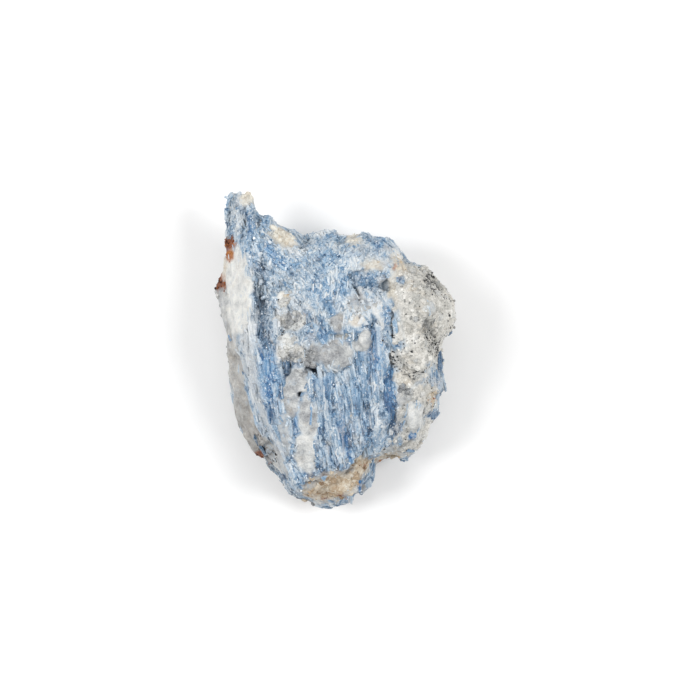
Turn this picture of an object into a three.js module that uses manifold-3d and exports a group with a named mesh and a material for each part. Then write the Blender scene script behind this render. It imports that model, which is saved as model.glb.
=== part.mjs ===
// A hand-sized cluster of kyanite blades grown together with quartz, feldspar and mica.
// It is one natural piece, so it is one closed solid. Millimetres, +Z up, resting on z = 0.
// +Y runs along the blades, towards the prong, and +X towards the lump of granular rock.
// The origin is at the middle of the footprint of its bounding box.
import * as THREE from "three";
import { ConvexGeometry } from "three/addons/geometries/ConvexGeometry.js";
import { mergeVertices } from "three/addons/utils/BufferGeometryUtils.js";
import Module from "manifold-3d";

// ---- driving dimensions -------------------------------------------------------------
const TOP_STEPS = 25; // stations from the top pole out to the rim, on each spoke
const UNDER_STEPS = 13; // stations from the rim in to the pole underneath
const SAMPLES = 240; // fine samples used to space those stations evenly
const POLE = [-10, -4]; // plan position that every spoke starts from
const SHOULDER = [3.4, 8.0]; // least and most plan width of the roll from top to rim
const UNDERCUT = [7, 18]; // least and most plan width of the slope under the rim
const SHOULDER_PATCH = 14; // how far round the rim those widths take to change
const ROUGHNESS = 0.6; // height of the uneven relief of the top
const ROUGH_SIZE = 5.0; // width of its bumps
const BREAK_SIZE = [11, 13, 9]; // size along X, Y and Z of the flat breaks in the sides
const BREAK_DEPTH = 5.2; // how far the deepest break cuts in
const SEED = 11;

// The widest contour, clockwise from the prong: x, y and the height of the rim there.
const RIM = [
  [-34.0, 48.6, 23], [-32.4, 49.9, 23], [-28.9, 49.9, 23], [-26.2, 49.2, 23],
  [-25.4, 45.9, 22], [-25.0, 43.4, 21], [-22.4, 42.7, 21], [-20.1, 42.6, 21],
  [-18.3, 39.9, 20], [-15.0, 38.3, 20], [-12.2, 37.7, 20], [-9.9, 36.2, 20],
  [-7.6, 37.2, 20], [-4.2, 37.9, 20], [-0.6, 37.8, 20], [2.1, 36.4, 20],
  [6.2, 36.5, 20], [9.3, 37.4, 20], [12.1, 35.9, 19], [16.6, 35.9, 19],
  [18.8, 33.8, 19], [21.3, 30.3, 18], [23.2, 27.9, 18], [25.8, 27.5, 18],
  [28.7, 27.2, 18], [30.4, 24.6, 18], [32.8, 22.3, 18], [35.2, 19.6, 18],
  [37.9, 15.9, 18], [38.0, 12.6, 17], [37.9, 9.2, 17], [37.0, 5.4, 16],
  [34.6, 3.6, 15], [33.9, 1.0, 14], [34.5, -4.2, 13], [34.4, -8.0, 13],
  [35.0, -10.6, 13], [34.4, -13.0, 13], [32.7, -14.2, 12], [33.4, -20.3, 12],
  [31.6, -21.9, 12], [30.0, -23.6, 12], [29.2, -26.8, 11], [27.4, -30.0, 11],
  [25.6, -32.4, 11], [23.2, -33.6, 10], [22.0, -35.2, 10], [20.8, -34.9, 10],
  [19.4, -33.9, 10], [16.6, -34.5, 10], [13.8, -36.4, 10], [12.9, -38.6, 10],
  [12.6, -41.2, 10], [10.6, -44.0, 9], [8.2, -45.9, 9], [7.0, -45.1, 9],
  [5.7, -46.0, 9], [5.4, -47.8, 9], [2.2, -49.2, 9], [-2.0, -50.1, 9],
  [-5.6, -49.6, 9], [-8.4, -48.2, 9], [-12.0, -47.1, 9], [-15.0, -45.3, 10],
  [-16.8, -42.6, 10], [-19.0, -39.7, 10], [-21.7, -36.8, 10], [-22.7, -34.7, 10],
  [-25.3, -33.0, 10], [-26.8, -30.9, 10], [-29.0, -27.6, 10], [-31.0, -24.4, 10],
  [-32.0, -20.8, 10], [-32.7, -16.0, 10], [-33.9, -10.4, 11], [-34.0, -4.6, 11],
  [-34.6, 0.6, 11], [-34.8, 5.4, 12], [-36.2, 9.6, 12], [-37.2, 14.4, 13],
  [-38.0, 19.6, 14], [-37.2, 22.8, 15], [-35.6, 25.8, 16], [-35.8, 29.4, 17],
  [-34.4, 31.2, 19], [-34.7, 36.0, 21], [-34.6, 42.0, 22],
];

// Broken faces of the top. Each passes through the edge a-b and falls away to the right
// of it, looking from a to b, by `fall` mm in each mm of plan distance.
const TOP_FACES = [
  { a: [60, 12, 38.0], b: [-60, 12, 36.8], fall: 0.16 }, // upper field
  { a: [-60, -7, 36.0], b: [60, -7, 36.6], fall: 0.21 }, // lower field, down the blades
  { a: [-26.6, 34, 34.6], b: [-27.6, 2, 36.6], fall: 2.0 }, // white quartz flank
  { a: [-29.4, 6, 35.4], b: [-12.5, -42, 27.6], fall: 1.45 }, // long grey flank
  { a: [33, 16, 34.5], b: [8, 36.5, 33.5], fall: 0.95 }, // upper right corner
  { a: [30.5, -22, 27], b: [34, 18, 32], fall: 1.5 }, // right side
  { a: [13, -32, 28], b: [30, -17, 28], fall: 0.8 }, // lower right corner
];
// Where the bladed field breaks off above the low terrace of feldspar at the foot.
const LEDGE = [
  { a: [-17, -45.5, 27], b: [8, -34, 29.5], fall: 1.3 },
  { a: [8, -34, 29.5], b: [30, -29, 28], fall: 1.3 },
];
const TERRACE = { z: 25.4, slope: 0.55, from: -38 };
// Broken faces underneath, which rise away from the flat that the piece rests on.
const UNDER_FACES = [
  { a: [40, 17, 0], b: [-40, 25, 0], fall: 0.52 },
  { a: [19, -40, 0], b: [13, 40, 0], fall: 0.42 },
  { a: [-40, -33, 0], b: [40, -20, 0], fall: 0.4 },
  { a: [-24, 40, 0], b: [-19, -40, 0], fall: 0.5 },
];
// Rises (+) and hollows (-) of the top: centre, plan radii, turn in degrees, height.
const SWELLS = [
  { at: [27.5, 9], r: [13.5, 19], turn: 6, rise: 3.2, edge: 0.3 }, // granular lump
  { at: [25.5, 14.5], r: [6.5, 5.5], turn: 20, rise: 1.4, edge: 0.9 },
  { at: [28.6, 5.4], r: [3.0, 4.2], turn: 0, rise: -2.2, edge: 0.8 },
  { at: [22.4, 8.0], r: [3.0, 2.4], turn: 0, rise: -1.5, edge: 0.8 },
  { at: [31.6, 19.4], r: [4.4, 2.6], turn: -40, rise: -1.5, edge: 0.8 },
  { at: [-21.9, 14], r: [4.4, 15], turn: -4, rise: -2.7, edge: 1 }, // long trough
  { at: [-16.4, 9.5], r: [3.2, 7], turn: -8, rise: -1.6, edge: 1 },
  { at: [8.6, 22.4], r: [5.4, 3.0], turn: -14, rise: -3.0, edge: 0.5 }, // blue recess
  { at: [15.6, 19.8], r: [2.4, 2.8], turn: 0, rise: -3.0, edge: 0.8 },
  { at: [-14.6, -5.6], r: [2.0, 3.4], turn: 0, rise: -2.6, edge: 0.6 },
  { at: [-16, 35.5], r: [4.6, 3.4], turn: -30, rise: -2.4, edge: 0.9 }, // cream hollow
  { at: [14, -21], r: [5, 9], turn: 0, rise: 1.2, edge: 0.9 },
  { at: [-30, 41], r: [7, 13], turn: 0, rise: -1.5, edge: 0.9 }, // prong stands lower
];
// Lumps of quartz and feldspar: centre in plan, half sizes, how far they stand proud.
const LUMPS = [
  { at: [-0.6, -1.4], half: [7.4, 5.4, 4.4], proud: 2.6 },
  { at: [4.8, 12.2], half: [6.4, 4.8, 4.2], proud: 1.1 },
  { at: [8.9, 3.6], half: [2.4, 3.9, 3.0], proud: 1.4 },
  { at: [-11.8, 1.6], half: [5.2, 4.0, 3.0], proud: 1.3 },
  { at: [23.6, -19.6], half: [4.4, 6.0, 5.4], proud: 0.8 },
  { at: [24.8, -2.2], half: [5.0, 4.2, 3.2], proud: 1.2 },
  { at: [2.2, -41.6], half: [7.4, 4.4, 4.4], proud: 0.2 },
];
// The boldest blades: both ends in plan, width, how far they stand proud.
const BLADES = [
  { a: [-32.4, 34], b: [-32.6, 49.0], width: 3.0, proud: 1.2 },
  { a: [-28.8, 31], b: [-29.3, 49.2], width: 3.2, proud: 1.7 },
  { a: [-25.8, 28], b: [-26.8, 46.5], width: 2.6, proud: 1.0 },
  { a: [-22.2, 34], b: [-21.4, 41.6], width: 3.2, proud: 1.0 },
  { a: [-23.6, 32.5], b: [-11.6, 23.0], width: 3.2, proud: 0.9 },
  { a: [-17.8, 31.0], b: [-7.0, 22.6], width: 2.4, proud: 0.7 },
  { a: [-25.4, 28], b: [-25.4, 4], width: 1.8, proud: 0.5 },
  { a: [-27.0, 9.0], b: [-22.6, -22], width: 3.6, proud: 1.1 },
  { a: [-21.4, -1.0], b: [-20.2, -18], width: 4.2, proud: 1.2 },
  { a: [-18.6, -9], b: [-15.2, -30], width: 3.0, proud: 0.9 },
  { a: [-4.6, 11.0], b: [-3.4, 1.6], width: 3.4, proud: 2.2 },
  { a: [12.4, 9.0], b: [12.2, -6.5], width: 3.6, proud: 0.9 },
  { a: [-2.8, -6], b: [-1.2, -29], width: 3.6, proud: 0.9 },
  { a: [0.6, -14], b: [5.2, -35.0], width: 2.4, proud: 1.5 },
  { a: [5.6, -8], b: [7.4, -30], width: 3.4, proud: 0.9 },
  { a: [10.8, -9], b: [12.6, -28], width: 3.2, proud: 1.1 },
  { a: [16.6, -6], b: [18.8, -25], width: 2.6, proud: 1.2 },
];

// ---- small helpers ------------------------------------------------------------------
const clamp01 = (t) => Math.min(1, Math.max(0, t));
const smooth = (t) => t * t * (3 - 2 * t);
const mix = (p, q, t) => p + (q - p) * t;

// A number from 0 to 1 for each corner of a whole-number grid.
function hash(i, j, k) {
  let h = Math.imul(i, 374761393) + Math.imul(j, 668265263) + Math.imul(k, 974634777);
  h = Math.imul(h ^ (h >>> 13), 1274126177);
  return ((h ^ (h >>> 16)) >>> 0) / 4294967296;
}

// Smooth noise from -1 to 1: the corners' numbers, blended across each grid cell.
function noise(x, y, z) {
  const [i, j, k] = [Math.floor(x), Math.floor(y), Math.floor(z)];
  const [u, v, w] = [smooth(x - i), smooth(y - j), smooth(z - k)];
  const along = (dj, dk) => mix(hash(i, j + dj, k + dk), hash(i + 1, j + dj, k + dk), u);
  return 2 * mix(mix(along(0, 0), along(1, 0), v), mix(along(0, 1), along(1, 1), v), w) - 1;
}

// Rough, broken relief: three sizes of noise added, each half as wide and half as high.
function rough(x, y, z, size) {
  let sum = 0;
  for (const octave of [1, 2, 4])
    sum += noise((x * octave) / size, (y * octave) / size, (z * octave) / size + SEED) / octave;
  return sum / 1.75;
}

// The height at (x, y) of the plane through the edge a-b with the given fall beside it.
function planeHeight({ a, b, fall }, x, y) {
  const [ex, ey] = [b[0] - a[0], b[1] - a[1]];
  const length = Math.hypot(ex, ey);
  const along = ((x - a[0]) * ex + (y - a[1]) * ey) / length;
  const beside = ((x - a[0]) * ey - (y - a[1]) * ex) / length;
  return a[2] + ((b[2] - a[2]) * along) / length - fall * beside;
}

// The distance in plan from (x, y) to the rim.
function distanceToRim(x, y) {
  let nearest = Infinity;
  RIM.forEach(([ax, ay], i) => {
    const [bx, by] = RIM[(i + 1) % RIM.length];
    const [ex, ey] = [bx - ax, by - ay];
    const t = clamp01(((x - ax) * ex + (y - ay) * ey) / (ex * ex + ey * ey));
    nearest = Math.min(nearest, Math.hypot(x - ax - t * ex, y - ay - t * ey));
  });
  return nearest;
}

// How far a swell lifts the top at (x, y): full inside, rolling off over its edge.
function swellHeight({ at, r, turn, rise, edge }, x, y) {
  const angle = (turn * Math.PI) / 180;
  const [dx, dy] = [x - at[0], y - at[1]];
  const across = (dx * Math.cos(angle) + dy * Math.sin(angle)) / r[0];
  const along = (dy * Math.cos(angle) - dx * Math.sin(angle)) / r[1];
  return rise * smooth(clamp01((1 - Math.hypot(across, along)) / edge));
}

// The top face before its shoulders are rolled off.
function fieldHeight(x, y) {
  const faces = Math.min(...TOP_FACES.map((face) => planeHeight(face, x, y)));
  const swells = SWELLS.reduce((sum, swell) => sum + swellHeight(swell, x, y), 0);
  const broken = Math.max(...LEDGE.map((face) => planeHeight(face, x, y)));
  const terrace = TERRACE.z + TERRACE.slope * (y - TERRACE.from);
  const field = Math.min(faces + swells, Math.max(broken, terrace));
  return field + ROUGHNESS * rough(x, y, 0, ROUGH_SIZE);
}

// A width that wanders between the least and the most on the way round the rim.
function wander([least, most], x, y, layer) {
  const t = 0.5 + 0.9 * noise(x / SHOULDER_PATCH, y / SHOULDER_PATCH, layer);
  return mix(least, most, smooth(clamp01(t)));
}

function topHeight(x, y, rimZ) {
  const inside = clamp01(distanceToRim(x, y) / wander(SHOULDER, x, y, 3.5));
  const roll = Math.sqrt(1 - (1 - inside) ** 2); // quarter ellipse
  return mix(rimZ, Math.max(fieldHeight(x, y), rimZ + 1), roll);
}

function underHeight(x, y, rimZ) {
  const faces = Math.max(...UNDER_FACES.map((face) => -planeHeight(face, x, y)), 0);
  const inside = clamp01(distanceToRim(x, y) / wander(UNDERCUT, x, y, 7.5));
  return mix(rimZ, Math.min(faces, rimZ - 1), inside ** 0.7); // nearly a straight slope
}

// How deep the sides are broken at a point, from 0 to 1. Each cell of a jittered grid
// holds a tilted plane, and the highest of the nearby planes is the face that is left.
function breakDepth(x, y, z) {
  const at = [x / BREAK_SIZE[0], y / BREAK_SIZE[1], z / BREAK_SIZE[2]];
  const cell = at.map(Math.floor);
  let face = -Infinity;
  for (let i = -1; i <= 1; i++)
    for (let j = -1; j <= 1; j++)
      for (let k = -1; k <= 1; k++) {
        const key = [cell[0] + i, cell[1] + j, cell[2] + k];
        const away = key.map((c, n) => at[n] - c - hash(key[0] + n, key[1], key[2]));
        const tilt = away.map((d, n) => d * (2 * hash(key[0], key[1] + n + 5, key[2]) - 1));
        const reach = away.reduce((sum, d) => sum + d * d, 0);
        const height = hash(key[0], key[1], key[2] + 9);
        face = Math.max(face, height + 0.9 * (tilt[0] + tilt[1] + tilt[2]) - 0.55 * reach);
      }
  return clamp01(1.15 - face);
}

// Cuts a point of the sides inwards. The rim, the flat underneath and the top stay put.
function broken(point, rimZ) {
  const { x, y, z } = point;
  const offRim = smooth(clamp01(Math.abs(z - rimZ) / 4));
  const offFloor = smooth(clamp01(z / 5));
  const side = 1 - smooth(clamp01((distanceToRim(x, y) - 3) / 9));
  const inwards = new THREE.Vector3(POLE[0] - x, POLE[1] - y, 0).normalize();
  const depth = BREAK_DEPTH * offRim * offFloor * side * breakDepth(x, y, z);
  return point.clone().addScaledVector(inwards, depth);
}

// ---- the body -----------------------------------------------------------------------
// n + 1 points spaced evenly along a polyline, its ends included.
function evenly(line, n) {
  const run = [0];
  for (let i = 1; i < line.length; i++) run.push(run[i - 1] + line[i].distanceTo(line[i - 1]));
  const spaced = [];
  for (let s = 0, i = 1; s <= n; s++) {
    const want = (run.at(-1) * s) / n;
    while (i < run.length - 1 && run[i] < want) i++;
    const t = (want - run[i - 1]) / (run[i] - run[i - 1]);
    spaced.push(line[i - 1].clone().lerp(line[i], clamp01(t)));
  }
  return spaced;
}

// One spoke: over the top from the pole to the rim, then under it to the lower pole.
function spoke([rimX, rimY, rimZ]) {
  const line = (height) =>
    Array.from({ length: SAMPLES + 1 }, (_, i) => {
      const t = i / SAMPLES;
      const [x, y] = [mix(POLE[0], rimX, t), mix(POLE[1], rimY, t)];
      return new THREE.Vector3(x, y, height(x, y, rimZ));
    });
  const over = evenly(line(topHeight), TOP_STEPS);
  const under = evenly(line(underHeight).reverse(), UNDER_STEPS);
  return over.concat(under.slice(1)).map((point) => broken(point, rimZ));
}

// Spokes joined side by side into one closed skin, with a point shared at each pole.
function bodyGeometry() {
  const spokes = RIM.map(spoke);
  const last = TOP_STEPS + UNDER_STEPS;
  const points = [spokes[0][0], spokes[0][last]];
  const place = (i, j) => (j === 0 ? 0 : j === last ? 1 : 2 + i * (last - 1) + j - 1);
  const index = [];
  spokes.forEach((line, i) => {
    points.push(...line.slice(1, last));
    const next = (i + 1) % spokes.length;
    for (let j = 0; j < last; j++) {
      const [p, q, r, s] = [place(i, j), place(i, j + 1), place(next, j + 1), place(next, j)];
      if (j < last - 1) index.push(p, r, q);
      if (j > 0) index.push(p, s, r);
    }
  });
  return new THREE.BufferGeometry().setFromPoints(points).setIndex(index);
}

// ---- blades and lumps that stand proud of it ----------------------------------------
const rimNear = (x, y) =>
  RIM.reduce((best, p) =>
    Math.hypot(p[0] - x, p[1] - y) < Math.hypot(best[0] - x, best[1] - y) ? p : best,
  );
const surfaceAt = (x, y) => topHeight(x, y, rimNear(x, y)[2]);

// A lath with bevelled long edges and a broken, slanting tip at each end.
function bladeGeometry({ a, b, width, proud }) {
  const start = new THREE.Vector3(a[0], a[1], surfaceAt(a[0], a[1]) + proud * 0.5);
  const end = new THREE.Vector3(b[0], b[1], surfaceAt(b[0], b[1]) + proud * 0.5);
  const axis = end.clone().sub(start);
  const side = new THREE.Vector3(axis.y, -axis.x, 0).normalize();
  const depth = 3.2;
  const points = [];
  const sections = [
    [0, 0.5, -0.8],
    [0.08, 0.9, 0],
    [0.5, 1, proud * 0.5],
    [0.93, 0.85, 0],
    [1, 0.45, -0.9],
  ];
  for (const [t, wide, lift] of sections)
    for (const [across, down] of [[-0.35, 0], [0.4, -0.15], [0.5, -1], [0, -depth], [-0.5, -1]])
      points.push(
        start.clone().addScaledVector(axis, t)
          .addScaledVector(side, across * width * wide)
          .add(new THREE.Vector3(0, 0, lift + down)),
      );
  return new ConvexGeometry(points);
}

// A chunky broken lump: the hull of points scattered evenly over an ellipsoid.
function lumpGeometry({ at, half, proud }, number) {
  const count = 26;
  const golden = Math.PI * (3 - Math.sqrt(5));
  const middle = surfaceAt(at[0], at[1]) + proud - half[2];
  const points = Array.from({ length: count }, (_, i) => {
    const up = 1 - (2 * (i + 0.5)) / count;
    const round = Math.sqrt(1 - up * up);
    const turn = i * golden + number;
    const reach = 0.86 + 0.28 * hash(i, number, SEED);
    return new THREE.Vector3(
      at[0] + half[0] * reach * round * Math.cos(turn),
      at[1] + half[1] * reach * round * Math.sin(turn),
      middle + half[2] * Math.min(1, reach) * up,
    );
  });
  return new ConvexGeometry(points);
}

// ---- joining it all into one solid --------------------------------------------------
const wasm = await Module();
wasm.setup();

function toSolid(geometry) {
  const bare = new THREE.BufferGeometry()
    .setAttribute("position", geometry.getAttribute("position"))
    .setIndex(geometry.index);
  const merged = mergeVertices(bare, 1e-4);
  return new wasm.Manifold(
    new wasm.Mesh({
      numProp: 3,
      vertProperties: merged.attributes.position.array,
      triVerts: new Uint32Array(merged.index.array),
    }),
  );
}

function toGeometry(solid) {
  const { vertProperties, triVerts } = solid.getMesh();
  const geometry = new THREE.BufferGeometry()
    .setAttribute("position", new THREE.BufferAttribute(vertProperties, 3))
    .setIndex(new THREE.BufferAttribute(triVerts, 1));
  geometry.computeVertexNormals();
  return geometry;
}

function clusterGeometry() {
  let solid = toSolid(bodyGeometry());
  for (const blade of BLADES) solid = solid.add(toSolid(bladeGeometry(blade)));
  LUMPS.forEach((lump, number) => {
    solid = solid.add(toSolid(lumpGeometry(lump, number)));
  });
  const { min, max } = solid.boundingBox(); // the origin goes under the middle of it
  const middle = [(min[0] + max[0]) / 2, (min[1] + max[1]) / 2];
  return toGeometry(solid.translate([-middle[0], -middle[1], -min[2]]));
}

const kyaniteBlue = new THREE.MeshStandardMaterial({
  color: new THREE.Color(0.45, 0.56, 0.68),
  roughness: 0.45,
  metalness: 0,
});

const cluster = new THREE.Mesh(clusterGeometry(), kyaniteBlue);
cluster.name = "kyanite_cluster";

const part = new THREE.Group();
part.add(cluster);
export default part;
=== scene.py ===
# %% [markdown]
# # A cluster of kyanite blades in its rock
# Kyanite grows as long flat blades, packed side by side like a bundle of laths. This piece
# was broken off a vein, so blades, milky quartz, cream feldspar and a lump of granular mica
# rock are grown into one another. The CAD solid gives its size and its large faces. Here it
# gets the skin: a finely broken body, and thousands of small blades and grains set into it.

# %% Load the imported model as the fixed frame
import itertools
import math

import bmesh
import bpy
import numpy as np
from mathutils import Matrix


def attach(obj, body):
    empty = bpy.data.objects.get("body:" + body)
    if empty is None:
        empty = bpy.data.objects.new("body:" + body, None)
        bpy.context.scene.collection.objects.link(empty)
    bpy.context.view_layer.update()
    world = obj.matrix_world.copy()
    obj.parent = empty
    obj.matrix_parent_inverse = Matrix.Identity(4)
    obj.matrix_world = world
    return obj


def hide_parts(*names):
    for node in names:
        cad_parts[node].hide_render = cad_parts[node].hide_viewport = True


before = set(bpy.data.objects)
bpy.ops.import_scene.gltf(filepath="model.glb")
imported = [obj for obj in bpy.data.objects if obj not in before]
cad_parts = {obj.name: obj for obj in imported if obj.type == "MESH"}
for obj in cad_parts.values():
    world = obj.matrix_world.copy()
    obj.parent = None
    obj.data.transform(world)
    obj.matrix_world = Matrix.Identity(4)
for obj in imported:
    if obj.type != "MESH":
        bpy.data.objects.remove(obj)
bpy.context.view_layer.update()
MM = 0.001  # the arrays below are in millimetres and Blender is in metres
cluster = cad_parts["kyanite_cluster"]

# %% [markdown]
# ## Camera and light
# The piece lies on a white surface and is seen from straight above through a long lens, so
# it hardly widens towards the camera. Two large soft lights, one on each side, leave the
# faint shadows to the left and right. A pale sky fills in the rest.

# %% Camera
LENS, SENSOR = 146.0, 36.0  # mm
VIEW_WIDTH = 220.8  # mm across the picture at the height of the widest contour
VIEW_HEIGHT = 18.0  # mm over the surface: the height of the widest contour
VIEW_CENTRE = (4.57, 0.40)  # mm

camera_data = bpy.data.cameras.new("camera")
camera_data.lens, camera_data.sensor_width = LENS, SENSOR
camera = bpy.data.objects.new("camera", camera_data)
rise = VIEW_WIDTH * LENS / SENSOR + VIEW_HEIGHT
camera.location = (VIEW_CENTRE[0] * MM, VIEW_CENTRE[1] * MM, rise * MM)
bpy.context.collection.objects.link(camera)
bpy.context.scene.camera = camera
print("camera height in mm:", round(rise))

# %% Lights
def soft_light(name, place, size, power):
    """A square light of that size, in metres, turned towards the middle of the piece."""
    data = bpy.data.lights.new(name, "AREA")
    data.shape, data.size, data.energy = "SQUARE", size, power
    light = bpy.data.objects.new(name, data)
    light.location = place
    aim = -light.location
    light.rotation_euler = aim.to_track_quat("-Z", "Y").to_euler()
    light.visible_camera = False
    bpy.context.collection.objects.link(light)


SKY = 0.47  # how bright the pale sky is

soft_light("left light", (-0.72, 0.05, 0.90), 0.46, 6.9)
soft_light("right light", (0.72, 0.05, 0.90), 0.46, 6.7)
soft_light("far light", (-0.10, 0.60, 1.05), 0.60, 1.3)

world = bpy.data.worlds.new("pale sky")
world.use_nodes = True
world.node_tree.nodes["Background"].inputs["Color"].default_value = (1, 1, 1, 1)
world.node_tree.nodes["Background"].inputs["Strength"].default_value = SKY
bpy.context.scene.world = world
bpy.context.scene.view_settings.view_transform = "Standard"

# %% [markdown]
# ## Helpers for arrays
# Natural surfaces need chance that can be repeated. A hash turns each cell of a grid into
# a fixed number, noise blends those numbers, and broken cells split space around scattered
# points. All of them take whole arrays of points at once, which is what makes numpy fast.
# A salt is any whole number: with another salt, the same place has another chance.

# %% Chance, noise and broken cells
def chance(cell, salt=0):
    """A number from 0 to 1 for each whole-number cell: coordinates times primes, mixed."""
    i, j, k = np.moveaxis(np.asarray(cell).astype(np.int64), -1, 0)
    mixed = (i * 374761393 + j * 668265263 + k * 974634777 + salt * 83492791) & 0xFFFFFFFF
    mixed = ((mixed ^ (mixed >> 13)) * 1274126177) & 0xFFFFFFFF
    return (mixed ^ (mixed >> 16)) / 0xFFFFFFFF


def smooth(t):
    """0 below 0, 1 above 1, and an S-shaped curve between them."""
    t = np.clip(t, 0, 1)
    return t * t * (3 - 2 * t)


def noise(points, salt=0):
    """Smooth noise from -1 to 1: the cell corners' numbers, blended across each cell."""
    cell = np.floor(points)
    part = smooth(points - cell)
    total = np.zeros(len(points))
    for corner in itertools.product((0, 1), repeat=3):
        weight = np.prod(np.where(corner, part, 1 - part), axis=-1)
        total += weight * chance(cell + corner, salt)
    return 2 * total - 1


def rough(points, octaves=3, salt=0):
    """Noise plus noise at twice, four times... the fineness, each half as strong."""
    layers = [noise(points * 2**o, salt + o) / 2**o for o in range(octaves)]
    return sum(layers) / (2 - 2 ** (1 - octaves))


def cells(points, salt=0):
    """Each point's nearest of the points scattered one to a cell: how far it is, how much
    further the second nearest is, and the nearest one's own number from 0 to 1."""
    base = np.floor(points)
    near = np.full(len(points), 9.0)
    second, number = near.copy(), np.zeros(len(points))
    for step in itertools.product((-1, 0, 1), repeat=3):
        cell = base + step
        seed = cell + np.stack([chance(cell, salt + n) for n in range(3)], -1)
        far = np.linalg.norm(points - seed, axis=-1)
        closer = far < near
        second = np.where(closer, near, np.minimum(second, far))
        number = np.where(closer, chance(cell, salt + 7), number)
        near = np.where(closer, far, near)
    return near, second - near, number


TILT, FALL = 0.9, 0.6  # how much a plane leans, and how fast it falls away


def facets(points, salt=0):
    """Flat breaks that meet in edges: every cell holds a tilted plane that falls away from
    its own point, and the highest plane at each place is the face that is left."""
    base = np.floor(points)
    top = np.full(len(points), -9.0)
    for step in itertools.product((-1, 0, 1), repeat=3):
        cell = base + step
        away = points - cell - np.stack([chance(cell, salt + n) for n in range(3)], -1)
        lean = np.stack([2 * chance(cell, salt + 11 + n) - 1 for n in range(3)], -1)
        plane = chance(cell, salt + 21) + TILT * (away * lean).sum(-1) - FALL * (away**2).sum(-1)
        top = np.maximum(top, plane)
    return top


print("a few chances:", np.round(chance(np.eye(3)), 3))

# %% [markdown]
# ## Closed skins from rings
# A blade and a grain are both a closed skin over a few rings of points. One function turns
# an array of rings into a mesh: four-sided faces between rings, and a fan of triangles at
# each end. It takes thousands of shapes in one array, so there is no loop over vertices.

# %% Many small closed shapes in one mesh
def mesh_piece(name, points, corners, sides, material, values=None):
    """A mesh object from points in mm, the faces' corners in a row, and how many sides each
    face has. Values are point attributes: one number, or three, for each point."""
    mesh = bpy.data.meshes.new(name)
    mesh.vertices.add(len(points))
    mesh.vertices.foreach_set("co", (points * MM).astype(np.float32).ravel())
    mesh.loops.add(len(corners))
    mesh.loops.foreach_set("vertex_index", corners.astype(np.int32))
    mesh.polygons.add(len(sides))
    starts = np.concatenate([[0], np.cumsum(sides)[:-1]])
    mesh.polygons.foreach_set("loop_start", starts.astype(np.int32))
    mesh.polygons.foreach_set("use_smooth", np.zeros(len(sides), bool))
    mesh.update(calc_edges=True)
    mesh.validate()
    add_values(mesh, values or {})
    mesh.materials.append(material)
    piece = bpy.data.objects.new(name, mesh)
    bpy.context.collection.objects.link(piece)
    return piece


def add_values(mesh, values):
    """Stores each array as a point attribute, so that a material can read it by name."""
    for key, value in values.items():
        several = value.ndim == 2
        kind, field = ("FLOAT_VECTOR", "vector") if several else ("FLOAT", "value")
        layer = mesh.attributes.new(key, kind, "POINT")
        layer.data.foreach_set(field, value.astype(np.float32).ravel())


def skins(name, rings, material, values=None):
    """One closed skin for each shape in rings[shape, ring, corner]: faces between the rings,
    and a fan at both ends. Values hold one number for each shape, or one for each point."""
    shapes, count, around = rings.shape[:3]
    ends = rings[:, [0, -1]].mean(axis=2)
    points = np.concatenate([rings.reshape(shapes, -1, 3), ends], axis=1)
    ring, corner = np.meshgrid(np.arange(count - 1), np.arange(around), indexing="ij")
    after = (corner + 1) % around
    wall = [ring * around + corner, ring * around + after,
            (ring + 1) * around + after, (ring + 1) * around + corner]
    wall = np.stack(wall, -1).reshape(-1)
    first, last, turn = np.arange(around), (count - 1) * around, (np.arange(around) + 1) % around
    start_fan = np.stack([np.full(around, count * around), turn, first], -1).reshape(-1)
    end_fan = np.stack([np.full(around, count * around + 1), last + first, last + turn], -1)
    one = np.concatenate([wall, start_fan, end_fan.reshape(-1)])
    one_sides = np.concatenate([np.full((count - 1) * around, 4), np.full(2 * around, 3)])
    every = (np.arange(shapes) * points.shape[1])[:, None] + one
    spread = {key: spread_value(value, points.shape[1]) for key, value in (values or {}).items()}
    return mesh_piece(name, points.reshape(-1, 3), every.ravel(), np.tile(one_sides, shapes),
                      material, spread)


def spread_value(value, each):
    """Repeats a shape's value for all its points; values given for each point are kept."""
    if value.ndim == 1:
        return np.repeat(value, each)
    return value.reshape(-1, *value.shape[2:])


def unit(vectors):
    """The vectors with their lengths made 1."""
    return vectors / np.maximum(np.linalg.norm(vectors, axis=-1, keepdims=True), 1e-9)


print("helpers are ready")

# %% [markdown]
# ## Which way the blades run
# The blades lie nearly flat and mostly run along Y. In the prong they stand straight, below
# it they fan out to the right, and at the foot they follow the edge. Each entry pulls the
# direction towards its own angle near its centre.

# %% The run of the blades
FLOW = [  # centre, reach, angle of the blades in the plan in degrees
    ((-30, 42), 8, -90), ((-15, 29), 7, -40), ((-2, 27), 8, -78), ((8, 30), 8, -96),
    ((-23, 12), 7, -87), ((-24, -12), 9, -80), ((-2, -22), 12, -81), ((14, -12), 8, -86),
    ((-22, -38), 8, -54), ((-8, -47), 8, -62), ((33, -10), 7, -84), ((12, 22), 5, -56),
    ((-12, -26), 4, -92),
]


def blade_angle(points):
    """The angle of the blades at each point: the entries' angles, each weighted by a bell
    curve of the distance in plan to its centre."""
    centre = np.array([entry[0] for entry in FLOW], float)
    reach = np.array([entry[1] for entry in FLOW], float)
    angle = np.array([entry[2] for entry in FLOW], float)
    far = np.linalg.norm(points[:, None, :2] - centre, axis=-1)
    weight = np.exp(-((far / reach) ** 2) / 2) + 1e-6
    return np.radians((weight * angle).sum(1) / weight.sum(1))


def along_blades(points):
    """The points in blade coordinates: along the blades, across them, and up."""
    angle = blade_angle(points)
    x, y, z = points.T
    return np.stack([x * np.cos(angle) + y * np.sin(angle),
                     y * np.cos(angle) - x * np.sin(angle), z], -1)


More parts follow.
